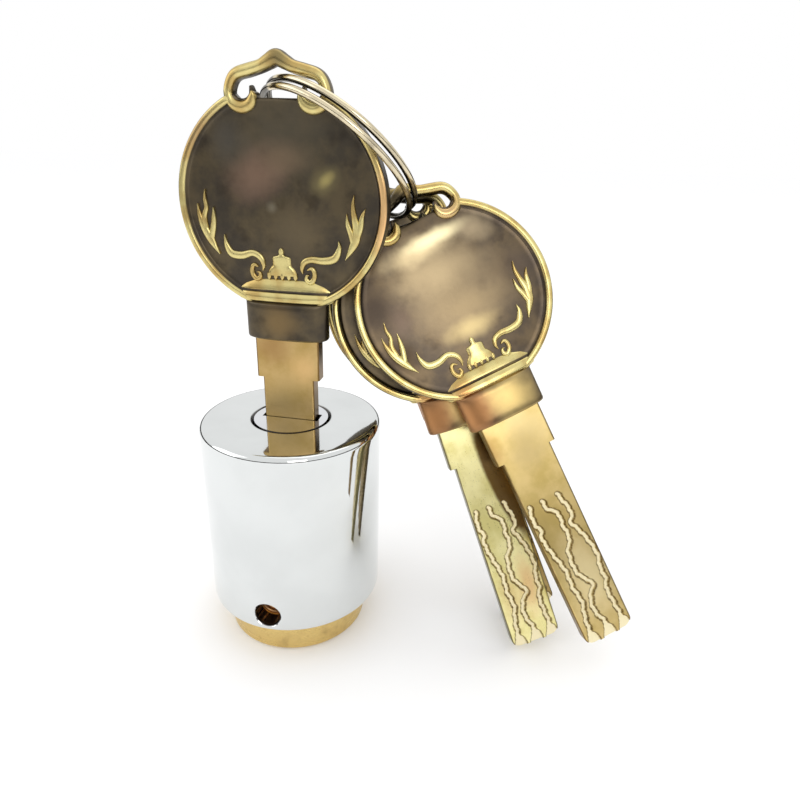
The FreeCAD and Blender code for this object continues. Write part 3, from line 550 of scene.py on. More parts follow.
@dataclass(frozen=True)
class Drawn(Finish):
    """Drawn wire or small steel parts: a little tarnish, worn spots, grime and painted shade where parts
    touch.
    """

    tarnish: Colour = (0.16, 0.14, 0.10)
    crevice: Colour = (0.035, 0.032, 0.025)
    crevice_share: float = 0.9
    cloud: Triple = (260.0, 4.0, 0.6)
    cloud_range: Spot = (0.5, 0.72)
    spots: Triple = (2400.0, 3.0, 0.5)
    spot_range: Spot = (0.55, 0.8)
    crevice_range: Spot = (0.35, 0.75)
    crevice_fray: float = 0.2
    dull_shares: Spot = (0.45, 0.2)
    dull_rough: float = 0.25

    def paint(self, graph: Graph) -> dict[str, Source]:
        """Tarnish from a coarse noise, worn spots from a fine one, grime and painted shade where hidden
        is high.

        Args:
            graph: The material's graph.

        Returns:
            What varies over the surface, by the shader's socket.
        """
        place = graph.place()
        cloud = graph.noise(place, *self.cloud)
        spots = graph.noise(place, *self.spots)
        dull = (cloud.between(*self.cloud_range) * self.dull_shares[0]
                + spots.between(*self.spot_range) * self.dull_shares[1])
        tint = graph.mix(dull, self.tone, self.tarnish)
        # Where hidden is high the metal darkens: grime and painted shade between parts, painted shadow of
        # the keys on the ring.
        hidden = graph.attribute("hidden") + spots.spread(self.crevice_fray)
        hidden = hidden.between(*self.crevice_range)
        tint = graph.mix(hidden * self.crevice_share, tint, self.crevice)
        rough = self.roughness + dull * self.dull_rough
        return {"Base Color": tint, "Roughness": rough, "Normal": graph.bump(spots, self.relief)}


# Surfaces
def added(name: str, data: bpy.types.ID) -> bpy.types.Object:
    """Adds an object at the origin of the scene.

    Args:
        name: The object's name.
        data: Its mesh, lamp or lens.

    Returns:
        The object.
    """
    made = bpy.data.objects.new(name, data)
    bpy.context.scene.collection.objects.link(made)
    return made


def along(points: Sequence[Sequence[float]], count: int) -> Array:
    """A smooth line through points, each coordinate as a cubic between its neighbours.

    Between points b and c with a before and d after, the value at t is half of
    2b + (c - a)t + (2a - 5b + 4c - d)t^2 + (3b - a - 3c + d)t^3.

    Args:
        points: The points, with any number of coordinates.
        count: How many points to return.

    Returns:
        An array of count rows.
    """
    known = np.asarray(points, float)
    padded = np.vstack([2 * known[0] - known[1], known, 2 * known[-1] - known[-2]])
    reach = np.concatenate([[0.0], np.cumsum(np.linalg.norm(np.diff(known[:, :2], axis=0), axis=1))])
    where = np.interp(np.linspace(0.0, reach[-1], count), reach, np.arange(len(known)))
    start = np.minimum(where.astype(int), len(known) - 2)
    t = (where - start)[:, None]
    a, b, c, d = (padded[start + step] for step in range(4))
    return 0.5 * (2 * b + (c - a) * t + (2 * a - 5 * b + 4 * c - d) * t ** 2
                  + (3 * b - a - 3 * c + d) * t ** 3)


def oval(count: int, power: float) -> tuple[Array, Array]:
    """A rounded section: sign(cos)|cos|^(2/power) across and the same of the sine up.

    Args:
        count: Points round it.
        power: 2 is an ellipse, more is squarer.

    Returns:
        The two coordinates, each from -1 to 1.
    """
    turn = np.linspace(0.0, 2 * math.pi, count, endpoint=False)
    cosine, sine = np.cos(turn), np.sin(turn)
    return (np.sign(cosine) * np.abs(cosine) ** (2 / power),
            np.sign(sine) * np.abs(sine) ** (2 / power))


def step_up(value: Array, low: float, high: float) -> Array:
    """Smooth step 3t^2 - 2t^3 from 0 at low to 1 at high."""
    t = np.clip((value - low) / (high - low), 0.0, 1.0)
    return t * t * (3 - 2 * t)


@dataclass(frozen=True)
class Stand:
    """Where a piece stands in the lock's frame: its own centre and how it is turned, in degrees."""

    centre: Triple = (0.0, 0.0, 0.0)
    yaw: float = 0.0
    lean: float = 0.0
    swing: float = 0.0

    def placed(self, points: Array) -> Array:
        """Points turned about Y by the swing, about X by the lean and about Z by the yaw, then moved.

        Args:
            points: Places in the piece's own frame.

        Returns:
            Places in the lock's frame.
        """
        turned = Matrix.Rotation(math.radians(self.yaw), 3, "Z")
        turned = turned @ Matrix.Rotation(math.radians(self.lean), 3, "X")
        turned = turned @ Matrix.Rotation(math.radians(self.swing), 3, "Y")
        return points @ np.array(turned).T + np.array(self.centre)


class Skin:
    """Grids of points gathered into one mesh, with the values that they carry."""

    def __init__(self, carried: Iterable[str] = ()) -> None:
        """Starts empty.

        Args:
            carried: Names of the values that each point carries.
        """
        self.points: list[Array] = []
        self.faces: list[list[int]] = []
        self.carried: dict[str, list[Array]] = {name: [] for name in carried}
        self.count = 0

    def grid(self, points: Array, wrap_rows: bool = False, wrap_columns: bool = False,
             poles: bool = False, **values: Union[float, Array]) -> Array:
        """Adds a grid of quads.

        Args:
            points: Rows, columns and three coordinates.
            wrap_rows: Whether the last row joins the first.
            wrap_columns: Whether the last column joins the first.
            poles: Whether a point closes the first row, and another one the last row.
            values: The carried values, one for all points, for each row or column, or for each point.

        Returns:
            The number of each point.
        """
        rows, columns = points.shape[:2]
        numbers = np.arange(rows * columns).reshape(rows, columns) + self.count
        held = {name: np.broadcast_to(np.asarray(values.get(name, 0.0), float), (rows, columns))
                for name in self.carried}
        self._keep(points.reshape(-1, 3), {name: value.ravel() for name, value in held.items()})
        laid = np.vstack([numbers, numbers[:1]]) if wrap_rows else numbers
        laid = np.hstack([laid, laid[:, :1]]) if wrap_columns else laid
        quads = np.stack([laid[:-1, :-1], laid[:-1, 1:], laid[1:, 1:], laid[1:, :-1]], axis=-1)
        self.faces.extend(quads.reshape(-1, 4).tolist())
        for ring in (0, -1) if poles else ():
            self._fan(numbers[ring], points[ring].mean(axis=0),
                      {name: value[ring].mean(keepdims=True) for name, value in held.items()})
        return numbers

    def tube(self, points: Array, **values: Union[float, Array]) -> None:
        """Adds a grid whose columns close round it and whose ends close in a point."""
        self.grid(points, wrap_columns=True, poles=True, **values)

    def _fan(self, ring: Array, point: Array, values: dict[str, Array]) -> None:
        """Closes a ring of points with triangles to one point.

        Args:
            ring: The numbers of the ring's points.
            point: The new point.
            values: What it carries.
        """
        pole = self.count
        self._keep(point.reshape(1, 3), values)
        following = np.roll(ring, -1)
        self.faces.extend(np.stack([ring, following, np.full_like(ring, pole)], axis=-1).tolist())

    def strip(self, first: Array, second: Array) -> None:
        """Joins two rows of points that are already there."""
        quads = np.stack([first[:-1], first[1:], second[1:], second[:-1]], axis=-1)
        self.faces.extend(quads.tolist())

    def _keep(self, points: Array, values: dict[str, Array]) -> None:
        """Stores points and what they carry.

        Args:
            points: The points, one in each row.
            values: One value for each point, by name.
        """
        self.points.append(points)
        self.count += len(points)
        for name, value in values.items():
            self.carried[name].append(value)

    def piece(self, name: str, stand: Stand = Stand(), sharp: float = 38.0) -> bpy.types.Object:
        """Writes the mesh: welds the seams, turns the faces outward and shades it smooth.

        Args:
            name: The piece's name.
            stand: Where it stands.
            sharp: Angle in degrees past which an edge is sharp.

        Returns:
            The new object, at the origin.
        """
        own = np.vstack(self.points)
        mesh = bpy.data.meshes.new(name)
        mesh.from_pydata((stand.placed(own) * MM).tolist(), [], self.faces)
        kept = mesh.attributes.new("key_place", "FLOAT_VECTOR", "POINT")
        kept.data.foreach_set("vector", own.astype(np.float32).ravel())
        for label, parts in self.carried.items():
            kept = mesh.attributes.new(label, "FLOAT", "POINT")
            kept.data.foreach_set("value", np.concatenate(parts).astype(np.float32))
        work = bmesh.new()
        work.from_mesh(mesh)
        bmesh.ops.remove_doubles(work, verts=work.verts, dist=WELD)
        bmesh.ops.recalc_face_normals(work, faces=work.faces)
        work.to_mesh(mesh)
        work.free()
        mesh.shade_smooth()
        mesh.set_sharp_from_angle(angle=math.radians(sharp))
        return added(name, mesh)


def swept(line: Array, half_height: Union[float, Array], middle: Union[float, Array],
          power: float, count: int) -> Array:
    """A rounded bar along a line in the key's plane.

    The section at each point is an oval: its half width goes across the line in the key's plane and
    its half height goes front to back, about the given middle.

    Args:
        line: Across, up and half width along the line.
        half_height: Half the bar's depth.
        middle: The depth's middle.
        power: The oval's power.
        count: Points round the section.

    Returns:
        A grid with a row for each point of the line.
    """
    tangent = np.gradient(line[:, :2], axis=0)
    tangent /= np.linalg.norm(tangent, axis=1, keepdims=True)
    aside = np.stack([-tangent[:, 1], tangent[:, 0]], axis=1)
    across, up = oval(count, power)
    flat = line[:, None, :2] + aside[:, None, :] * (line[:, 2][:, None] * across)[..., None]
    height = np.broadcast_to(half_height, len(line))
    depth = np.broadcast_to(middle, len(line))[:, None] + height[:, None] * up
    return np.stack([flat[..., 0], depth, flat[..., 1]], axis=-1)


def turned_grid(profile: Sequence[Spot], columns: int) -> Array:
    """A profile of radius and height turned about Z: x = r sin a, y = -r cos a.

    Args:
        profile: Radius and height of each row.
        columns: Points round each row.

    Returns:
        A grid with a row for each point of the profile.
    """
    section = np.asarray(profile, float)
    turn = np.linspace(0.0, 2 * math.pi, columns, endpoint=False)
    radius, height = section[:, 0][:, None], section[:, 1][:, None]
    return np.stack([radius * np.sin(turn), -radius * np.cos(turn),
                     np.broadcast_to(height, (len(section), columns))], axis=-1)


def quarter(centre: Spot, radius: float, start: float, count: int) -> list[Spot]:
    """Points of a quarter round of a profile, from an angle in degrees on."""
    turn = np.radians(np.linspace(start, start + 90.0, count))
    return [(centre[0] + radius * math.cos(a), centre[1] + radius * math.sin(a)) for a in turn]


# Lock
@dataclass
class LockBody:
    """The chrome shell with its fixing hole, and the thread inside it.

    The patch is the part of a wall where the grid passes from the wall's columns to the fixing hole's
    circle. The seams are values that the shell carries for its finish's grime and painted shade.
    """

    radius: float = 15.0
    inside: float = 12.22
    base: float = 6.8
    top: float = 39.2
    cap: float = 2.2
    top_round: float = 1.0
    bottom_round: float = 0.4
    plug_hole: float = 6.4
    plug_bevel: float = 0.3
    bevel_round: float = 0.06
    bevel_seam: float = 0.52
    hole_radius: float = 2.2
    hole_level: float = 9.8
    hole_bevel: float = 0.16
    hole_end: float = 8.2
    hole_seams: Triple = (0.3, 0.8, 1.0)
    thread_pitch: float = 0.8
    thread_depth: float = 0.2
    thread_power: float = 1.4
    thread_wall: float = 0.03
    thread_gap: float = 0.02
    thread_inset: float = 0.25
    thread_rows: int = 84
    thread_columns: int = 72
    columns: int = 180
    front_rings: int = 12
    round_rings: int = 6
    upper_rows: int = 24
    patch_columns: int = 6
    patch_rows: int = 10
    patch_rings: int = 6
    patch_half: float = 2.6

    def _wall(self, skin: Skin, radius: float, low: float, high: float, opening: float) -> Array:
        """A cylinder wall with a round opening towards -Y.

        Round the opening the grid is a patch whose points lie between a rectangle of the wall's own
        points and the opening's circle, both at the same angle, with y = -sqrt(r^2 - x^2).

        Args:
            skin: The mesh that takes the wall.
            radius: The wall's radius.
            low: Its lower end.
            high: Its upper end.
            opening: The opening's radius.

        Returns:
            Directions from the opening's middle to the points of its circle, of length 1.
        """
        patch_low, patch_high = self.hole_level - self.patch_half, self.hole_level + self.patch_half
        levels = np.linspace(patch_low, patch_high, self.patch_rows + 1)
        side, rows = self.patch_columns, self.patch_rows
        ring = turned_grid([(radius, 0.0)], self.columns)[0]
        bands = [(levels, ring[side:self.columns - side + 1], False),
                 (np.linspace(patch_high, high, self.upper_rows), ring, True)]
        if patch_low - low > SLACK:
            bands.append((np.array([low, patch_low]), ring, True))
        for heights, row, closed in bands:
            band = np.repeat(row[None], len(heights), axis=0)
            band[..., 2] = heights[:, None]
            skin.grid(band, wrap_columns=closed)
        span = ring[np.arange(-side, side + 1) % self.columns, 0]
        across = np.concatenate([span[:-1], np.full(rows, span[-1]), span[:0:-1], np.full(rows, span[0])])
        upward = np.concatenate([np.full(2 * side, patch_low), levels[:-1],
                                 np.full(2 * side, patch_high), levels[:0:-1]])
        from_hole = np.stack([across, upward - self.hole_level], axis=1)
        circle = opening * from_hole / np.linalg.norm(from_hole, axis=1, keepdims=True)
        share = np.linspace(0.0, 1.0, self.patch_rings)[:, None, None]
        flat = (1 - share) * from_hole + share * circle
        depth = -np.sqrt(radius ** 2 - flat[..., 0] ** 2)
        skin.grid(np.stack([flat[..., 0], depth, flat[..., 1] + self.hole_level], axis=-1),
                  wrap_columns=True)
        return circle / opening

    def _tunnel(self, skin: Skin, outer: Array, inner: Array) -> None:
        """The opening's bevel and wall, between the outer and the inner wall's circles.

        Each row lies on a cylinder about Z, so that y = -sqrt(wall^2 - x^2).

        Args:
            skin: The mesh that takes them.
            outer: Directions to the points of the outer wall's circle.
            inner: Directions to the points of the inner wall's circle.
        """
        rows = []
        for radius, wall, rim in ((self.hole_radius + self.hole_bevel, self.radius, outer),
                                  (self.hole_radius, self.radius - self.hole_bevel, outer),
                                  (self.hole_radius, self.inside, inner)):
            flat = radius * rim
            depth = -np.sqrt(wall ** 2 - flat[:, 0] ** 2)
            rows.append(np.stack([flat[:, 0], depth, flat[:, 1] + self.hole_level], axis=-1))
        # The hole's bevel and wall carry seam values: grime and painted shade inside the hole.
        skin.grid(np.array(rows), wrap_columns=True, seam=np.array(self.hole_seams)[:, None])

    def shell(self) -> bpy.types.Object:
        """The cup: outer wall, rounded edges, front plate with the plug's hole, inner wall.

        Returns:
            The piece.
        """
        skin = Skin(["seam"])
        inner = self._wall(skin, self.inside, self.base, self.top - self.cap, self.hole_radius)
        outer = self._wall(skin, self.radius, self.base + self.bottom_round, self.top - self.top_round,
                           self.hole_radius + self.hole_bevel)
        self._tunnel(skin, outer, inner)
        edge = self.radius - self.top_round
        over = quarter((edge, self.top - self.top_round), self.top_round, 0.0, self.front_rings)
        over += [(radius, self.top) for radius in
                 np.linspace(edge, self.plug_hole + self.plug_bevel, self.front_rings)[1:]]
        foot = self.top - self.plug_bevel
        over += [(self.plug_hole + self.bevel_round, foot), (self.plug_hole, foot - self.bevel_round),
                 (self.plug_hole, self.top - self.cap), (self.inside, self.top - self.cap)]
        # The plug hole's bevel and the walls inside it carry seam values: grime and painted shade.
        seam = np.array([0.0] * (len(over) - 5) + [self.bevel_seam] + [1.0] * 4)[:, None]
        skin.grid(turned_grid(over, self.columns), wrap_columns=True, seam=seam)
        edge = self.radius - self.bottom_round
        under = [(self.inside, self.base), (edge, self.base)]
        under += quarter((edge, self.base + self.bottom_round), self.bottom_round, -90.0,
                         self.round_rings)
        skin.grid(turned_grid(under, self.columns), wrap_columns=True)
        piece = skin.piece("chrome_shell", sharp=30.0)
        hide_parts("outer_shell")
        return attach(piece, "root")

    def thread(self) -> bpy.types.Object:
        """Sleeve in the fixing hole whose bore rises and falls as a helix.

        Its radius is r - d (1/2 + 1/2 cos a)^p, where a grows with the angle and the depth.

        Returns:
            The piece.
        """
        turn = np.linspace(0.0, 2 * math.pi, self.thread_columns, endpoint=False)
        near, far = self.inside - self.thread_inset, self.hole_end + self.thread_gap
        depth = np.linspace(near, far, self.thread_rows)
        phase = 2 * math.pi * depth[:, None] / self.thread_pitch + turn[None, :]
        wall = self.hole_radius - self.thread_gap
        ridge = (0.5 + 0.5 * np.cos(phase)) ** self.thread_power
        bore = wall - self.thread_wall - self.thread_depth * ridge
        radius = np.vstack([bore, np.full((2, self.thread_columns), wall)])
        depth = np.concatenate([depth, [far, near]])[:, None]
        skin = Skin()
        skin.grid(np.stack([radius * np.cos(turn), np.broadcast_to(-depth, radius.shape),
                            radius * np.sin(turn) + self.hole_level], axis=-1),
                  wrap_rows=True, wrap_columns=True)
        piece = skin.piece("fixing_thread", sharp=60.0)
        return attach(piece, "root")


# Keys
@dataclass(frozen=True)
class Stroke:
    """A raised line of a bow's ornament: across, up and half width at each point."""

    points: tuple[Triple, ...]
    height: float = 0.34
    steps: int = 40


LEFT_FLAME = (
    Stroke(((-13.2, -0.5, 0.06), (-13.05, -2.1, 0.36), (-12.5, -3.9, 0.6), (-11.6, -5.6, 0.64),
            (-10.9, -6.8, 0.36), (-10.2, -7.8, 0.05))),
    Stroke(((-11.8, 1.6, 0.05), (-11.98, 0.3, 0.26), (-11.85, -1.0, 0.34), (-12.3, -2.4, 0.42),
            (-12.2, -4.0, 0.48))),
    Stroke(((-10.65, -0.85, 0.05), (-10.75, -2.3, 0.34), (-10.98, -3.8, 0.46), (-11.4, -5.4, 0.48))),
)
RIGHT_FLAME = (
    Stroke(((11.05, 1.65, 0.05), (10.85, 0.2, 0.3), (11.05, -1.5, 0.44), (11.35, -3.1, 0.6),
            (11.2, -4.7, 0.7), (10.55, -6.1, 0.48), (9.7, -7.6, 0.05))),
    Stroke(((12.7, -0.15, 0.05), (12.2, -1.35, 0.34), (11.95, -2.8, 0.46), (11.5, -4.2, 0.48))),
    Stroke(((9.95, -0.95, 0.05), (10.05, -2.4, 0.32), (10.5, -3.7, 0.42), (10.9, -5.0, 0.48))),
)
HORNS = (
    Stroke(((-9.2, -4.8, 0.05), (-9.05, -6.2, 0.36), (-8.3, -7.6, 0.6), (-6.6, -7.8, 0.6),
            (-4.9, -7.35, 0.5), (-3.65, -7.95, 0.46), (-3.2, -9.1, 0.3), (-3.35, -9.9, 0.08))),
    Stroke(((8.7, -4.9, 0.05), (8.75, -6.0, 0.36), (8.0, -7.5, 0.6), (6.3, -7.95, 0.58),
            (4.5, -7.85, 0.5), (3.3, -8.3, 0.46), (2.9, -9.3, 0.3), (3.05, -10.0, 0.08))),
    Stroke(((-4.05, -9.35, 0.1), (-4.75, -9.1, 0.3), (-5.15, -9.75, 0.36), (-5.0, -10.7, 0.4),
            (-4.4, -11.25, 0.4), (-3.85, -10.8, 0.34), (-3.95, -10.2, 0.2), (-4.35, -10.15, 0.06))),
    Stroke(((3.75, -9.45, 0.1), (4.45, -9.2, 0.3), (4.85, -9.85, 0.36), (4.7, -10.8, 0.4),
            (4.1, -11.35, 0.4), (3.55, -10.9, 0.34), (3.65, -10.3, 0.2), (4.05, -10.25, 0.06))),
)
CROWN_MIDDLE = -0.3
CROWN_STEM = ((-6.4, 0.1), (-6.75, 0.42), (-7.2, 0.4), (-7.5, 0.55), (-7.75, 1.35), (-8.4, 1.45),
              (-9.0, 1.5), (-9.5, 1.95), (-10.2, 2.3), (-10.55, 2.35))
CROWN_POINT = ((-10.2, 0.3), (-10.8, 0.34), (-11.15, 0.1))


def upright(off: float, places: Sequence[Spot], steps: int) -> Stroke:
    """A stroke straight down, beside the crown's middle, from heights and half widths."""
    return Stroke(tuple((CROWN_MIDDLE + off, *place) for place in places), steps=steps)


CROWN = (upright(0.0, CROWN_STEM, 48),) + tuple(
    upright(off, CROWN_POINT, 12) for off in (-2.1, -1.05, 0.0, 1.05, 2.1))
ORNAMENT = LEFT_FLAME + RIGHT_FLAME + HORNS + CROWN


@dataclass
class Bow:
    """Round bow of a key: plate with a rolled rim, scrolled loop, collar and ornament.

    The loop's rows are across, up and half width, from its apex to the left scroll. The collar's rows
    are height, half width, half depth and how bright it is. A range gives where a step starts and
    where it ends: in degrees from the top for the rim's rise, in millimetres from the edge for what
    is bright on the rim and for the outer wall kept dark as painted shade, and in shares of the depth
    for the loop.
    """

    radius: float = 16.0
    rim_half: float = 1.4
    rim_width: float = 1.5
    rim_level: float = 0.78
    rim_curve: float = 0.42
    rim_rise: Spot = (21.0, 29.0)
    rim_bright: Spot = (0.82, 1.3)
    edge_bright: Spot = (0.02, 0.2)
    edge_shade: float = 0.3
    rim_rings: tuple[float, ...] = (
        1.4, 1.28, 1.16, 1.04, 0.92, 0.8, 0.64, 0.48, 0.34, 0.22, 0.12, 0.05, 0.0, 0.0)
    field_half: float = 0.7
    field_crown: float = 0.28
    field_start: float = 0.02
    field_rings: int = 22
    neck_floor: float = 14.0
    neck_half: float = 3.1
    scroll_centre: Spot = (5.25, 15.1)
    scroll_hole: float = 1.25
    loop_half: float = 1.3
    loop_power: float = 2.5
    loop_dull: float = 0.35
    loop_bright: Spot = (0.45, 0.95)
    loop_steps: int = 170
    loop_columns: int = 24
    collar_power: float = 2.7
    collar_columns: int = 96
    collar_between: int = 3
    stroke_power: float = 2.6
    stroke_columns: int = 14
    stroke_least: float = 0.02
    columns: int = 320
    loop: tuple[Triple, ...] = (
        (0.0, 18.95, 1.1), (-1.15, 18.45, 0.98), (-2.3, 17.9, 0.86), (-4.0, 17.42, 0.9),
        (-5.7, 16.95, 0.86), (-6.62, 16.1, 0.8), (-7.1, 14.6, 0.76), (-6.62, 13.25, 0.86),
        (-5.3, 12.72, 0.96), (-4.05, 13.15, 0.92), (-3.5, 14.2, 0.66), (-3.5, 14.75, 0.2))
    collar: tuple[tuple[float, float, float, float], ...] = (
        (-10.9, 3.6, 0.62, 0.2), (-11.3, 5.6, 1.0, 0.62), (-12.0, 7.0, 1.22, 0.78),
        (-12.7, 7.8, 1.35, 0.60), (-13.05, 8.0, 1.3, 0.1), (-13.25, 8.1, 1.62, 0.85),
        (-13.8, 8.1, 1.8, 1.0), (-14.4, 7.7, 1.82, 0.9), (-14.65, 7.0, 1.75, 0.2),
        (-14.8, 6.65, 2.3, 0.3), (-15.0, 6.65, 2.42, 0.25), (-17.5, 6.63, 2.44, 0.2),
        (-20.2, 6.62, 2.44, 0.3), (-20.45, 6.5, 2.36, 0.45), (-20.6, 6.2, 2.1, 0.2))

    def _field(self, from_centre: Array) -> Array:
        """Half thickness of the crowned field: f + c (1 - (r/R)^2)."""
        inner = self.radius - self.rim_width
        return self.field_half + self.field_crown * (1 - np.minimum(from_centre / inner, 1.0) ** 2)

    def _edge(self, turn: Array) -> Array:
        """Radius of the plate by angle: the round, cut by the neck's floor and by both scroll eyes.

        The floor is a straight line, r = floor / sin a. An eye at reach e and angle off from it cuts
        at r = e cos off - sqrt(hole^2 - (e sin off)^2).

        Args:
            turn: The angles, in radians from the right.

        Returns:
            The radius at each angle.
        """
        cosine, sine = np.cos(turn), np.sin(turn)
        floor = self.neck_floor / np.maximum(sine, SLACK)
        in_neck = (sine > 0) & (floor * np.abs(cosine) <= self.neck_half)
        edge = np.where(in_neck, np.minimum(floor, self.radius), self.radius)
        reach = math.hypot(*self.scroll_centre)
        for side in (-1, 1):
            middle = math.atan2(self.scroll_centre[1], side * self.scroll_centre[0])
            off = reach * np.sin(turn - middle)
            near = (np.abs(off) < self.scroll_hole) & (np.cos(turn - middle) > 0)
            eye = reach * np.cos(turn - middle) - np.sqrt(np.maximum(self.scroll_hole ** 2 - off ** 2, 0))
            edge = np.where(near, np.minimum(edge, eye), edge)
        return edge

    def _plate(self, skin: Skin) -> None:
        """The plate: rows run from the front's centre over the rim to the back's centre.

        Its half thickness is the field's, raised to the rim's by a smooth step. Within c of the edge
        it loses c - sqrt(c^2 - (c - d)^2), with d the distance from the edge.

        Args:
            skin: The mesh that takes it.
        """
        turn = np.linspace(0.0, 2 * math.pi, self.columns, endpoint=False) + 0.5 * math.pi
        edge = self._edge(turn)
        off_top = np.degrees(np.abs(np.angle(np.exp(1j * (turn - 0.5 * math.pi)))))
        rolled = step_up(off_top, *self.rim_rise)
        share = np.linspace(self.field_start, 1.0, self.field_rings)[:, None]
        inside = share * (edge - self.rim_width)
        across = np.vstack([inside, edge - np.array(self.rim_rings)[:, None]])
        from_edge = edge - across
        field_half = self._field(across)
        on_rim = rolled * (1 - step_up(from_edge, self.rim_level, self.rim_width))
        top = field_half + (self.rim_half - field_half) * on_rim
        fall = np.sqrt(np.clip(1 - np.clip(1 - from_edge / self.rim_curve, 0, 1) ** 2, 0, 1))
        half = top - self.rim_curve * (1 - fall)
        half[-1] = 0.0
        # The rim's outer wall is held dark: painted shade.
        rubbed = self.edge_shade + (1 - self.edge_shade) * step_up(from_edge, *self.edge_bright)
        raised = rolled * (1 - step_up(from_edge, *self.rim_bright)) * rubbed
        front, back = (np.stack([across * np.cos(turn), side * half, across * np.sin(turn)], axis=-1)
                       for side in (-1, 1))
        skin.tube(np.vstack([front, back[-2::-1]]), raised=np.vstack([raised, raised[-2::-1]]))

    def _loop(self, skin: Skin) -> None:
        """The scrolled loop, one bar from the left scroll over the apex to the right scroll.

        Args:
            skin: The mesh that takes it.
        """
        left = np.array(self.loop)[::-1]
        right = left[-2::-1] * np.array([-1.0, 1.0, 1.0])
        line = along(np.vstack([left, right]), self.loop_steps)
        up = oval(self.loop_columns, self.loop_power)[1]
        shine = self.loop_dull + (1 - self.loop_dull) * step_up(np.abs(up), *self.loop_bright)
        skin.tube(swept(line, self.loop_half, 0.0, self.loop_power, self.loop_columns), raised=shine)

    def _collar(self, skin: Skin) -> None:
        """The collar and its mouldings: ovals of given halves at given heights.

        Args:
            skin: The mesh that takes them.
        """
        across, up = oval(self.collar_columns, self.collar_power)
        known = np.arange(len(self.collar))
        fine = np.arange(0.0, known[-1] + SLACK, 1 / self.collar_between)
        level, half, depth, shine = (np.interp(fine, known, part) for part in np.array(self.collar).T)
        level = np.broadcast_to(level[:, None], (len(fine), self.collar_columns))
        skin.tube(np.stack([half[:, None] * across, depth[:, None] * up, level], axis=-1),
                  raised=shine[:, None])

    def _ornament(self, skin: Skin) -> None:
        """The raised strokes on both faces, half sunk in the field.

        Args:
            skin: The mesh that takes them.
        """
        for stroke in ORNAMENT:
            line = along(stroke.points, stroke.steps)
            line[:, 2] = np.maximum(line[:, 2], self.stroke_least)
            field_half = self._field(np.hypot(line[:, 0], line[:, 1]))
            for side in (-1, 1):
                skin.tube(swept(line, stroke.height, side * field_half, self.stroke_power,
                                self.stroke_columns), raised=1.0)

    def piece(self, name: str, stand: Stand) -> bpy.types.Object:
        """The whole bow as one piece.

        Args:
            name: The piece's name.
            stand: Where the key stands.

        Returns:
            The piece.
        """
        skin = Skin(["raised"])
        self._plate(skin)
        self._loop(skin)
        self._collar(skin)
        self._ornament(skin)
        return skin.piece(name, stand, sharp=50.0)


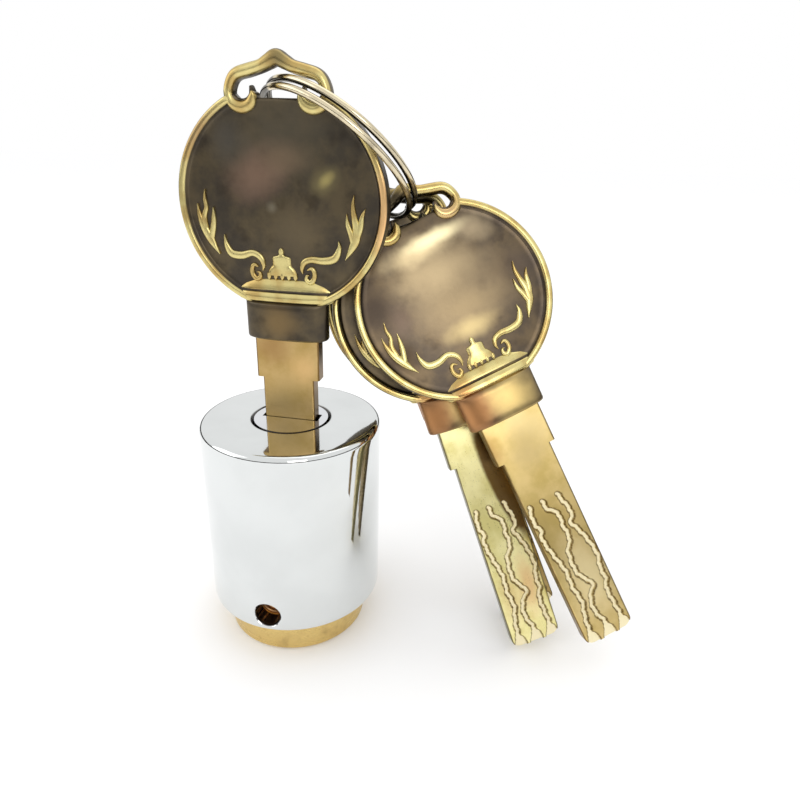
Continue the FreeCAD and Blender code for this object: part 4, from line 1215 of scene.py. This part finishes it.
@dataclass
class Blade:
    """Blade of a key with three milled grooves on each face.

    The shoulder lists rows above and below the step. A range gives where a step of the cut starts and
    ends: across a groove's wall and its border in millimetres, and across the side in shares of the
    half width. The chatter is the size and the rate of each wave in a groove's line.
    """

    wide_half: float = 5.25
    narrow_half: float = 4.3
    half: float = 1.2
    bevel: float = 0.22
    top: float = -18.0
    step: float = -27.3
    groove_zone: float = -34.6
    tip: float = -61.2
    corner: float = 1.5
    groove_half: float = 0.36
    groove_depth: float = 0.5
    mouth_half: float = 1.1
    mouth_length: float = 2.4
    bevel_slope: float = 0.8
    wall_range: Spot = (-0.10, 0.06)
    border_range: Spot = (0.03, 0.20)
    side_range: Spot = (0.90, 1.0)
    chatter: tuple[Spot, ...] = ((0.10, 3.1), (0.06, 7.3))
    shoulder: tuple[float, ...] = (0.08, 0.05, 0.02, 0.0, -0.03)
    shoulder_at: float = 0.03
    shoulder_ends: Spot = (0.12, -0.1)
    root_rows: int = 12
    plain_rows: int = 10
    plain_gap: float = 0.2
    corner_rows: int = 14
    across_steps: int = 92
    row_height: float = 0.105
    groove_steps: int = 170
    grooves: tuple[tuple[Spot, ...], ...] = (
        ((-3.3, -35.6), (-3.7, -38.3), (-3.2, -39.8), (-3.6, -41.5), (-3.1, -44.3), (-2.3, -47.9),
         (-2.4, -51.0), (-2.0, -53.8), (-2.6, -56.3), (-2.9, -58.8), (-2.9, -61.4)),
        ((-1.0, -35.6), (-0.7, -37.1), (0.6, -38.7), (0.5, -40.7), (0.6, -43.2), (-0.5, -45.1),
         (-0.8, -48.3), (-0.2, -50.2), (0.9, -51.9), (-0.4, -53.9), (-0.7, -56.3), (0.1, -58.8),
         (0.1, -61.4)),
        ((1.8, -35.6), (2.7, -39.3), (1.9, -41.0), (2.7, -42.9), (3.5, -45.8), (3.7, -48.1),
         (3.2, -50.2), (3.3, -52.0), (2.7, -53.9), (2.8, -56.1), (3.0, -58.8), (3.0, -61.4)))

    def _levels(self) -> Array:
        """Rows down the blade: few above the grooves, a close pair at the step, many below.

        Returns:
            Their heights.
        """
        above, below = self.shoulder_ends
        upper = np.linspace(self.top, self.step + above, self.root_rows)
        shoulder = self.step + np.array(self.shoulder)
        plain = np.linspace(self.step + below, self.groove_zone + self.plain_gap, self.plain_rows)
        count = int((self.groove_zone - self.tip - self.corner) / self.row_height)
        fine = np.linspace(self.groove_zone, self.tip + self.corner, count)
        turn = np.linspace(0.0, 0.5 * math.pi, self.corner_rows + 1)[1:]
        ending = self.tip + self.corner * (1.0 - np.sin(turn))
        return np.concatenate([upper, shoulder, plain, fine, ending])

    def _half_width(self, level: Array) -> Array:
        """Half the width by height: wide root, step, narrow blade, and a tip whose corners are round.

        Within a corner's radius c of the tip the width loses c - sqrt(c^2 - d^2) on each side, with d
        the distance below the rounding's start.

        Args:
            level: The heights.

        Returns:
            Half the width at each height.
        """
        below = np.clip(self.tip + self.corner - level, 0, self.corner)
        narrow = self.narrow_half - (self.corner - np.sqrt(self.corner ** 2 - below ** 2))
        return np.where(level > self.step + self.shoulder_at, self.wide_half, narrow)

    def _cut(self, across: Array, level: Array) -> tuple[Array, Array]:
        """How deep in a groove each point is, and how close to a groove's border, both 0 to 1.

        Both come from the point's distance to the grooves' lines, which a cutter's chatter moves
        across by the sum of its waves, size times sin(rate z).

        Args:
            across: Place across the blade.
            level: Height.

        Returns:
            The depth's share and the border's share.
        """
        deepest, border = np.zeros_like(across), np.zeros_like(across)
        low = level[:, 0] < self.groove_zone + SLACK
        for points in self.grooves:
            line = along(points, self.groove_steps)
            line[:, 0] += sum(size * np.sin(rate * line[:, 1]) for size, rate in self.chatter)
            half = self.groove_half + (self.mouth_half - self.groove_half) * step_up(
                -line[:, 1], -self.tip - self.mouth_length, -self.tip)
            off = np.hypot(across[low][..., None] - line[:, 0], level[low][..., None] - line[:, 1]) - half
            off = off.min(axis=-1)
            deepest[low] = np.maximum(deepest[low], 1 - step_up(off, *self.wall_range))
            beside = np.abs(off - self.wall_range[1])
            border[low] = np.maximum(border[low], 1 - step_up(beside, *self.border_range))
        return deepest, border

    def piece(self, name: str, stand: Stand) -> bpy.types.Object:
        """The blade: each row is a ring over the front and back again over the rear face.

        The half thickness is the smaller of the face, which falls along the bevel near the sides, and
        the face less the groove's depth times the cut.

        Args:
            name: The piece's name.
            stand: Where the key stands.

        Returns:
            The piece.
        """
        level = self._levels()[:, None]
        share = np.linspace(-1.0, 1.0, self.across_steps + 1)
        width = self._half_width(level)
        across = share * width
        level = np.broadcast_to(level, across.shape)
        cut, border = self._cut(across, level)
        to_side = np.minimum(width - np.abs(across), level - self.tip)
        surface = self.half - np.clip(self.bevel - to_side, 0, None) * self.bevel_slope
        depth = np.minimum(surface, self.half - self.groove_depth * cut)
        front = np.stack([across, -depth, level], axis=-1)
        back = np.stack([across, depth, level], axis=-1)[:, ::-1]
        edge = np.broadcast_to(step_up(np.abs(share), *self.side_range), cut.shape)
        skin = Skin(["groove", "groove_rim", "edge"])
        numbers = skin.grid(np.hstack([front, back]), wrap_columns=True,
                            groove=np.hstack([cut, cut[:, ::-1]]),
                            groove_rim=np.hstack([border, border[:, ::-1]]),
                            edge=np.hstack([edge, edge]))
        count = self.across_steps + 1
        for ring in (numbers[0], numbers[-1]):
            skin.strip(ring[:count], ring[:count - 1:-1])
        return skin.piece(name, stand, sharp=42.0)


@dataclass
class Key:
    """One key: its bow, its blade and where they stand."""

    name: str
    stand: Stand
    bow_finish: Antique
    blade_finish: Milled
    bow: Bow = field(default_factory=Bow)
    blade: Blade = field(default_factory=Blade)

    def make(self) -> None:
        """Builds and dresses both pieces."""
        makers = ((self.bow, "bow", "bow_antique_brass", self.bow_finish),
                  (self.blade, "blade", "blade_brass", self.blade_finish))
        for maker, part, slot_name, finish in makers:
            piece = maker.piece("%s_%s_piece" % (self.name, part), self.stand)
            piece.data.materials.append(finish.material())
            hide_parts("%s_%s" % (self.name, part))
            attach(piece, self.name)
            LOG.info("%s: %d faces", piece.name, len(piece.data.polygons))


# Ring
def off_middle(degrees: Array, middle: float) -> Array:
    """Angles from a middle one, from -180 to 180 degrees."""
    return (degrees + (540.0 - middle) % 360.0) % 360.0 - 180.0


@dataclass
class SplitRing:
    """Two turns of round wire: level arcs and one climb from the lower turn to the upper.

    A range gives where a step starts and ends: round the section in sines and cosines for what faces
    inward or the other turn, and along the ring in degrees for where the keys and the loop lie and
    their shadow is painted.
    """

    centre: Triple = (6.51, 8.07, 80.49)
    tilt_side: float = 32.03
    tilt_back: float = 29.49
    radius: float = 13.4
    wire: float = 0.5
    pitch: float = 1.42
    climb_start: float = 18.0
    climb_turn: float = 90.0
    level_turn: float = 270.0
    end_thinning: float = 0.12
    end_length: float = 0.3
    inward_range: Spot = (0.25, 0.85)
    inward_share: float = 0.8
    between_range: Spot = (0.45, 0.9)
    keys_from: Spot = (-34.0, -14.0)
    keys_to: Spot = (70.0, 90.0)
    loop_at: float = 188.0
    loop_range: Spot = (20.0, 32.0)
    keys_shadow_share: float = 0.85
    steps: int = 420
    columns: int = 20

    def piece(self) -> bpy.types.Object:
        """The wire: centre + r (u cos a + v sin a) + n level(a), with a round section.

        The value hidden is high between the turns and inside the ring, for grime and painted shade, and
        where the keys and the loop lie on it, for their painted shadow.

        Returns:
            The piece.
        """
        side, back = math.radians(self.tilt_side), math.radians(self.tilt_back)
        normal = np.array([math.sin(side) * math.cos(back), math.sin(back),
                           math.cos(side) * math.cos(back)])
        first = np.cross([0.0, 1.0, 0.0], normal)
        first /= np.linalg.norm(first)
        second = np.cross(normal, first)
        start = self.climb_start - self.level_turn
        stop = self.climb_start + self.climb_turn + self.level_turn
        degrees = np.linspace(start, stop, self.steps)
        climb = step_up(degrees, self.climb_start, self.climb_start + self.climb_turn)
        level = self.pitch * (climb - 0.5)
        thin = np.minimum(np.abs(degrees - start), np.abs(degrees - stop)) * math.pi / 180 * self.radius
        wire = self.wire - self.end_thinning * (1 - step_up(thin, 0.0, self.end_length))
        out = (np.cos(np.radians(degrees))[:, None] * first
               + np.sin(np.radians(degrees))[:, None] * second)
        line = np.array(self.centre) + self.radius * out + level[:, None] * normal
        turn = np.linspace(0.0, 2 * math.pi, self.columns, endpoint=False)
        ring = (out[:, None, :] * np.cos(turn)[None, :, None]
                + normal[None, None, :] * np.sin(turn)[None, :, None])
        # Inner side of the wire and its sides against the other turn: grime and painted shade.
        inward = self.inward_share * step_up(-np.cos(turn), *self.inward_range)[None, :]
        between = step_up(-np.sign(level)[:, None] * np.sin(turn)[None, :], *self.between_range)
        # Painted shadow where the hanging keys and the first key's loop lie on the wire.
        place = off_middle(degrees, 0.0)
        at_keys = step_up(place, *self.keys_from) * (1 - step_up(place, *self.keys_to))
        at_loop = 1 - step_up(np.abs(off_middle(degrees, self.loop_at)), *self.loop_range)
        keys_shadow = self.keys_shadow_share * np.maximum(at_keys, at_loop)[:, None]
        skin = Skin(["hidden"])
        skin.tube(line[:, None, :] + ring * wire[:, None, None],
                  hidden=np.maximum(np.maximum(between, inward), keys_shadow))
        made = skin.piece("split_ring_wire", sharp=50.0)
        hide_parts("split_ring")
        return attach(made, "ring")


# Studio
@dataclass(frozen=True)
class Softbox:
    """A soft rectangular lamp."""

    name: str
    target: Triple
    direction: Triple
    distance: float
    size: Spot
    radiance: float
    colour: Colour = (1.0, 1.0, 1.0)

    def make(self) -> None:
        """Adds the lamp; its power is radiance times pi times its area."""
        lamp = bpy.data.lights.new(self.name, "AREA")
        lamp.shape = "RECTANGLE"
        lamp.size, lamp.size_y = (side * MM for side in self.size)
        lamp.energy = self.radiance * math.pi * lamp.size * lamp.size_y
        lamp.color = self.colour
        made = added(self.name, lamp)
        way = Vector(self.direction).normalized()
        made.rotation_euler = way.to_track_quat("Z", "Y").to_euler()
        made.location = (Vector(self.target) + way * self.distance) * MM
        made.visible_camera = False


@dataclass
class Studio:
    """Camera, lamps, world and floor."""

    eye: Triple = (34.3311, -89.6355, 82.3500)
    right: Triple = (0.982287, 0.185352, 0.027516)
    up: Triple = (-0.096681, 0.375534, 0.921752)
    focal_pixels: float = 615.244
    frame_pixels: float = 800.0
    sensor: float = 36.0
    floor_half: float = 2500.0
    floor_colour: Colour = (0.95, 0.95, 0.955)
    lit_by_world: float = 1.05
    room_radius: float = 700.0
    room_height: float = 150.0
    room_columns: int = 96
    room_colour: Colour = (0.05, 0.048, 0.045)
    lamps: tuple[Softbox, ...] = (
        Softbox("front_right_softbox", (25.0, 7.0, 62.0), (0.361, -0.883, 0.36), 450.0,
                (170.0, 150.0), 3.6, (1.0, 0.97, 0.92)),
        Softbox("left_softbox", (0.0, 0.0, 40.0), (-0.85, -0.35, 0.45), 520.0, (360.0, 360.0), 1.0),
        Softbox("top_softbox", (10.0, 0.0, 40.0), (0.1, 0.25, 1.0), 600.0, (420.0, 420.0), 0.7),
    )

    def camera(self) -> None:
        """The photograph's camera: its axes are given, and its lens is f / frame times the sensor."""
        lens = bpy.data.cameras.new("photo_camera")
        lens.sensor_fit = "HORIZONTAL"
        lens.sensor_width = self.sensor
        lens.lens = self.focal_pixels / self.frame_pixels * self.sensor
        lens.clip_start = MM
        made = added("photo_camera", lens)
        right, up = Vector(self.right), Vector(self.up)
        turned = Matrix((right, up, right.cross(up))).transposed()
        made.matrix_world = Matrix.Translation(Vector(self.eye) * MM) @ turned.to_4x4()
        bpy.context.scene.camera = made

    def world(self) -> None:
        """White for the camera and in reflections, a plain level for what it lights."""
        made = bpy.data.worlds.new("studio_world")
        made.use_nodes = True
        bpy.context.scene.world = made
        graph = Graph(made.node_tree)
        path = [graph.node("ShaderNodeLightPath", output=name)
                for name in ("Is Camera Ray", "Is Glossy Ray", "Is Transmission Ray")]
        seen = path[0].larger(path[1]).larger(path[2])
        strength = seen * (1.0 - self.lit_by_world) + self.lit_by_world
        graph.end("ShaderNodeBackground", {"Color": (1.0, 1.0, 1.0, 1.0), "Strength": strength},
                  "ShaderNodeOutputWorld")

    def floor(self) -> None:
        """A plain pale floor at the base's level."""
        half = self.floor_half * MM
        mesh = bpy.data.meshes.new("floor")
        mesh.from_pydata([(-half, -half, 0), (half, -half, 0), (half, half, 0), (-half, half, 0)],
                         [], [(0, 1, 2, 3)])
        made = added("floor", mesh)
        plain, graph = new_material("plain_floor")
        graph.end("ShaderNodeBsdfDiffuse", {"Color": (*self.floor_colour, 1.0)})
        mesh.materials.append(plain)

    def room(self) -> None:
        """A dark low wall round the table that only reflections show."""
        ring = turned_grid([(self.room_radius, 0.0), (self.room_radius, self.room_height)],
                           self.room_columns)
        skin = Skin()
        skin.grid(ring, wrap_columns=True)
        wall = skin.piece("dark_room")
        dark, graph = new_material("dark_room_paint")
        graph.end("ShaderNodeEmission", {"Color": (*self.room_colour, 1.0), "Strength": 1.0})
        wall.data.materials.append(dark)
        wall.visible_camera = False
        wall.visible_diffuse = False
        wall.visible_shadow = False

    def make(self) -> None:
        """Sets the whole studio up."""
        bpy.context.scene.view_settings.view_transform = "Standard"
        self.camera()
        self.world()
        self.floor()
        self.room()
        for lamp in self.lamps:
            lamp.make()


# Finishes of the pieces
CHROME = Polished("mirror_chrome", Tone.CHROME.value, 0.03)
PLUG_CHROME = Polished("plug_chrome_finish", (0.74, 0.75, 0.77), 0.08)
BASE_BRASS = Turned("turned_brass", Tone.BRASS.value, 0.22)
THREAD_BRASS = Turned("thread_brass", (0.70, 0.38, 0.17), 0.3, stain=(0.22, 0.10, 0.05))
WAFER_BRASS = Turned("wafer_brass_finish", (0.70, 0.52, 0.24), 0.3)
SCREW_STEEL = Drawn("screw_steel_finish", Tone.STEEL.value, 0.28)
HARD_STEEL = Drawn("hard_steel_finish", (0.32, 0.32, 0.34), 0.35)
SPRING_STEEL = Drawn("spring_steel_finish", (0.6, 0.6, 0.6), 0.25)
RING_NICKEL = Drawn("ring_nickel_finish", Tone.NICKEL.value, 0.16)

FIRST_PATCHES = (
    Patch((0.4, 9.0), 8.0, (0.125, 0.106, 0.074), 0.75, 1.5),
    Patch((-3.6, 4.0), 5.0, (0.285, 0.185, 0.130), 0.8, 1.5, 25.0),
    Patch((0.6, 6.4), 3.4, (0.235, 0.168, 0.108), 0.7, 1.5),
    Patch((6.6, 3.2), 2.4, (0.25, 0.205, 0.10), 0.8, 1.4, 42.0),
    Patch((6.9, 3.5), 1.1, (0.46, 0.38, 0.15), 0.8, 1.7, 42.0),
    Patch((-1.4, -0.6), 1.2, (0.25, 0.22, 0.16), 0.6),
    Patch((2.2, -3.8), 6.0, (0.172, 0.134, 0.080), 0.7),
    Patch((-7.6, 8.0), 4.5, (0.115, 0.105, 0.090), 0.6),
    Patch((-0.6, -17.6), 4.6, (0.230, 0.155, 0.070), 0.75),
)
FIRST_EDGES = (
    # Orange on the first bow's right rim: painted reflection of the second bow.
    Patch((15.8, -0.6), 3.2, (0.88, 0.54, 0.25), 0.9, 2.9, 90.0, 0.3),
    Patch((-12.5, 9.5), 7.0, (0.38, 0.24, 0.12), 0.75),
    # Darker apex of the first bow's loop: painted dark reflection and shade.
    Patch((0.5, 18.8), 3.0, (0.17, 0.125, 0.06), 0.8),
)
# Painted light on the round collar: its left side shaded orange-brown, its right side lit gold.
COLLAR_SHADING = (
    Patch((-5.2, -17.6), 5.6, (0.50, 0.24, 0.095), 0.95),
    Patch((1.8, -17.6), 6.2, (0.74, 0.55, 0.22), 0.95),
)
# Painted shade on the left of the collar's lip.
COLLAR_LIP_SHADING = Patch((-5.0, -14.0), 3.0, (0.62, 0.32, 0.12), 0.8)
# Painted sheen on the second bow's field: a lighter ground, the bright reflection of the front lamp over
# its upper part, and painted shade near the rim and the neck.
SECOND_PAINTED_LIGHT = (
    Patch((0.5, 2.0), 13.5, (0.20, 0.152, 0.098), 0.95),
    Patch((-9.2, 0.8), 4.0, (0.125, 0.090, 0.068), 0.75, 0.8),
    Patch((0.2, 2.6), 9.0, (0.225, 0.172, 0.102), 0.85, 1.1),
    Patch((-1.4, 5.6), 5.0, (0.36, 0.280, 0.165), 0.9, 1.8),
    Patch((1.8, -1.6), 4.0, (0.28, 0.212, 0.120), 0.75, 2.2),
    Patch((0.6, -5.0), 2.4, (0.46, 0.360, 0.180), 0.9, 2.6),
    Patch((-1.6, 9.6), 3.0, (0.66, 0.53, 0.31), 0.9, 3.0, 3.0),
    Patch((1.2, 10.3), 1.7, (0.97, 0.85, 0.52), 0.95, 4.6, 1.0),
    Patch((7.6, 9.2), 3.2, (0.38, 0.300, 0.190), 0.85, 1.4, -20.0),
    Patch((11.6, 0.8), 4.2, (0.105, 0.080, 0.062), 0.8, 1.0),
    Patch((-12.2, 4.0), 4.6, (0.050, 0.038, 0.030), 0.9, 1.4, 80.0),
    Patch((-2.8, 14.2), 1.8, (0.045, 0.035, 0.018), 0.85, 2.6),
    Patch((-11.6, -4.4), 3.8, (0.045, 0.030, 0.018), 0.8, 1.2, -50.0),
) + COLLAR_SHADING
SECOND_EDGES = (
    Patch((5.0, 13.2), 3.2, (0.62, 0.38, 0.19), 0.7),
    # Dark on the second bow's loop: painted shade behind the ring.
    Patch((-3.0, 17.4), 2.8, (0.045, 0.036, 0.026), 0.95, 2.1, 12.0, 0.4),
    COLLAR_LIP_SHADING,
)
# Loops of the third and fourth bows kept dark: painted shade between the keys.
BACK_LOOP_SHADE = (
    Patch((0.0, 16.4), 4.6, (0.040, 0.034, 0.026), 0.95, 2.0, 0.0, 0.5),
    COLLAR_LIP_SHADING,
)
ROOT_PATCHES = (
    Patch((-2.5, -22.0), 4.5, (0.34, 0.20, 0.075), 0.8),
    Patch((2.6, -25.5), 3.6, (0.70, 0.46, 0.20), 0.7),
    Patch((-1.0, -32.0), 5.0, (0.42, 0.30, 0.13), 0.8),
)
HANGING_PATCHES = (
    Patch((-5.2, -24.5), 3.0, (0.46, 0.28, 0.10), 0.7, 1.6, 90.0),
    Patch((1.6, -22.5), 4.0, (0.70, 0.555, 0.27), 0.8, 1.8, -60.0),
    Patch((-3.6, -42.0), 5.0, (0.50, 0.38, 0.15), 0.5, 1.8, 90.0),
    Patch((0.2, -26.5), 4.4, (0.52, 0.400, 0.185), 0.75, 1.3, 90.0),
    Patch((0.8, -50.5), 6.0, (0.99, 0.83, 0.46), 0.85, 1.8, 90.0),
)
# Painted shadow of the second key's blade on the third key's blade, darkest along its right side.
SHADED_PATCHES = (
    Patch((2.5, -32.0), 2.4, (0.120, 0.058, 0.014), 0.95, 5.2, -81.5, 0.7),
    Patch((-2.0, -52.0), 3.0, (0.70, 0.50, 0.22), 0.6, 2.4, 90.0),
    Patch((1.6, -51.0), 2.8, (0.78, 0.50, 0.23), 0.8, 3.0, 86.0),
)
CAD_FINISHES: dict[str, Finish] = {
    "lock_barrel": BASE_BRASS, "back_cover": BASE_BRASS, "plug": PLUG_CHROME,
    "drill_guard_pins": HARD_STEEL, "stop_washer": HARD_STEEL, "circlip": SPRING_STEEL,
    "cover_screws": SCREW_STEEL, "wafer_springs": SPRING_STEEL,
}
# The second bow's patina, lighter than the others': a lit copy.
SECOND_LIT_TONE = (0.075, 0.060, 0.047)
# Darker sides of the third and fourth blades: painted shade between the keys.
SHADED_SIDE = (0.04, 0.028, 0.012)
HANGING_YAW = 16.22
KEYS = (
    Key("key_1", Stand((0.0, 0.6, 73.5)),
        Antique("bow_1_antique", Tone.PATINA.value, 0.38, patches=FIRST_PATCHES,
                edge_patches=FIRST_EDGES),
        # The first blade's brass, darker: a shaded copy.
        Milled("blade_1_shaded_brass", (0.52, 0.36, 0.15), 0.26, patches=ROOT_PATCHES)),
    Key("key_2", Stand((25.43, 7.37, 59.14), HANGING_YAW, -20.28, -25.28),
        Antique("bow_2_antique_painted_sheen", SECOND_LIT_TONE, 0.34, patches=SECOND_PAINTED_LIGHT,
                edge_patches=SECOND_EDGES),
        Milled("blade_2_brass", Tone.BLADE.value, 0.26, patches=HANGING_PATCHES)),
    Key("key_3", Stand((21.05, 10.33, 57.05), HANGING_YAW, -18.15, -18.22),
        Antique("bow_3_antique", Tone.PATINA.value, 0.38, patches=COLLAR_SHADING,
                edge_patches=BACK_LOOP_SHADE),
        # The third blade's brass, lighter: a lit copy.
        Milled("blade_3_lit_brass", (0.99, 0.91, 0.47), 0.24, side=SHADED_SIDE,
               patches=SHADED_PATCHES)),
    Key("key_4", Stand((18.68, 14.24, 57.27), HANGING_YAW, -14.75, -21.11),
        Antique("bow_4_antique", Tone.PATINA.value, 0.38, patches=COLLAR_SHADING,
                edge_patches=BACK_LOOP_SHADE),
        # The fourth blade's brass, darker: a shaded copy, behind the third.
        Milled("blade_4_shaded_brass", (0.42, 0.31, 0.14), 0.28, side=SHADED_SIDE)),
)


def dress_solids() -> None:
    """Gives each CAD node that stays in view its finish."""
    made: dict[str, bpy.types.Material] = {}
    replaced = ("outer_shell", "split_ring")
    for name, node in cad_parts.items():
        if name in replaced or name.startswith("key_"):
            continue
        finish = CAD_FINISHES.get(name, WAFER_BRASS)
        if finish.name not in made:
            made[finish.name] = finish.material()
        for slot in node.material_slots:
            slot.material = made[finish.name]
        LOG.info("%s: %s", name, finish.name)


def main() -> None:
    """Builds the studio and the lock in order and reports each piece."""
    logging.basicConfig(level=logging.INFO, format="%(name)s: %(message)s")
    Studio().make()
    lock = LockBody()
    for piece, finish in ((lock.shell(), CHROME), (lock.thread(), THREAD_BRASS),
                          (SplitRing().piece(), RING_NICKEL)):
        piece.data.materials.append(finish.material())
        LOG.info("%s: %d faces", piece.name, len(piece.data.polygons))
    for key in KEYS:
        key.make()
    dress_solids()


if __name__ == "__main__":
    main()
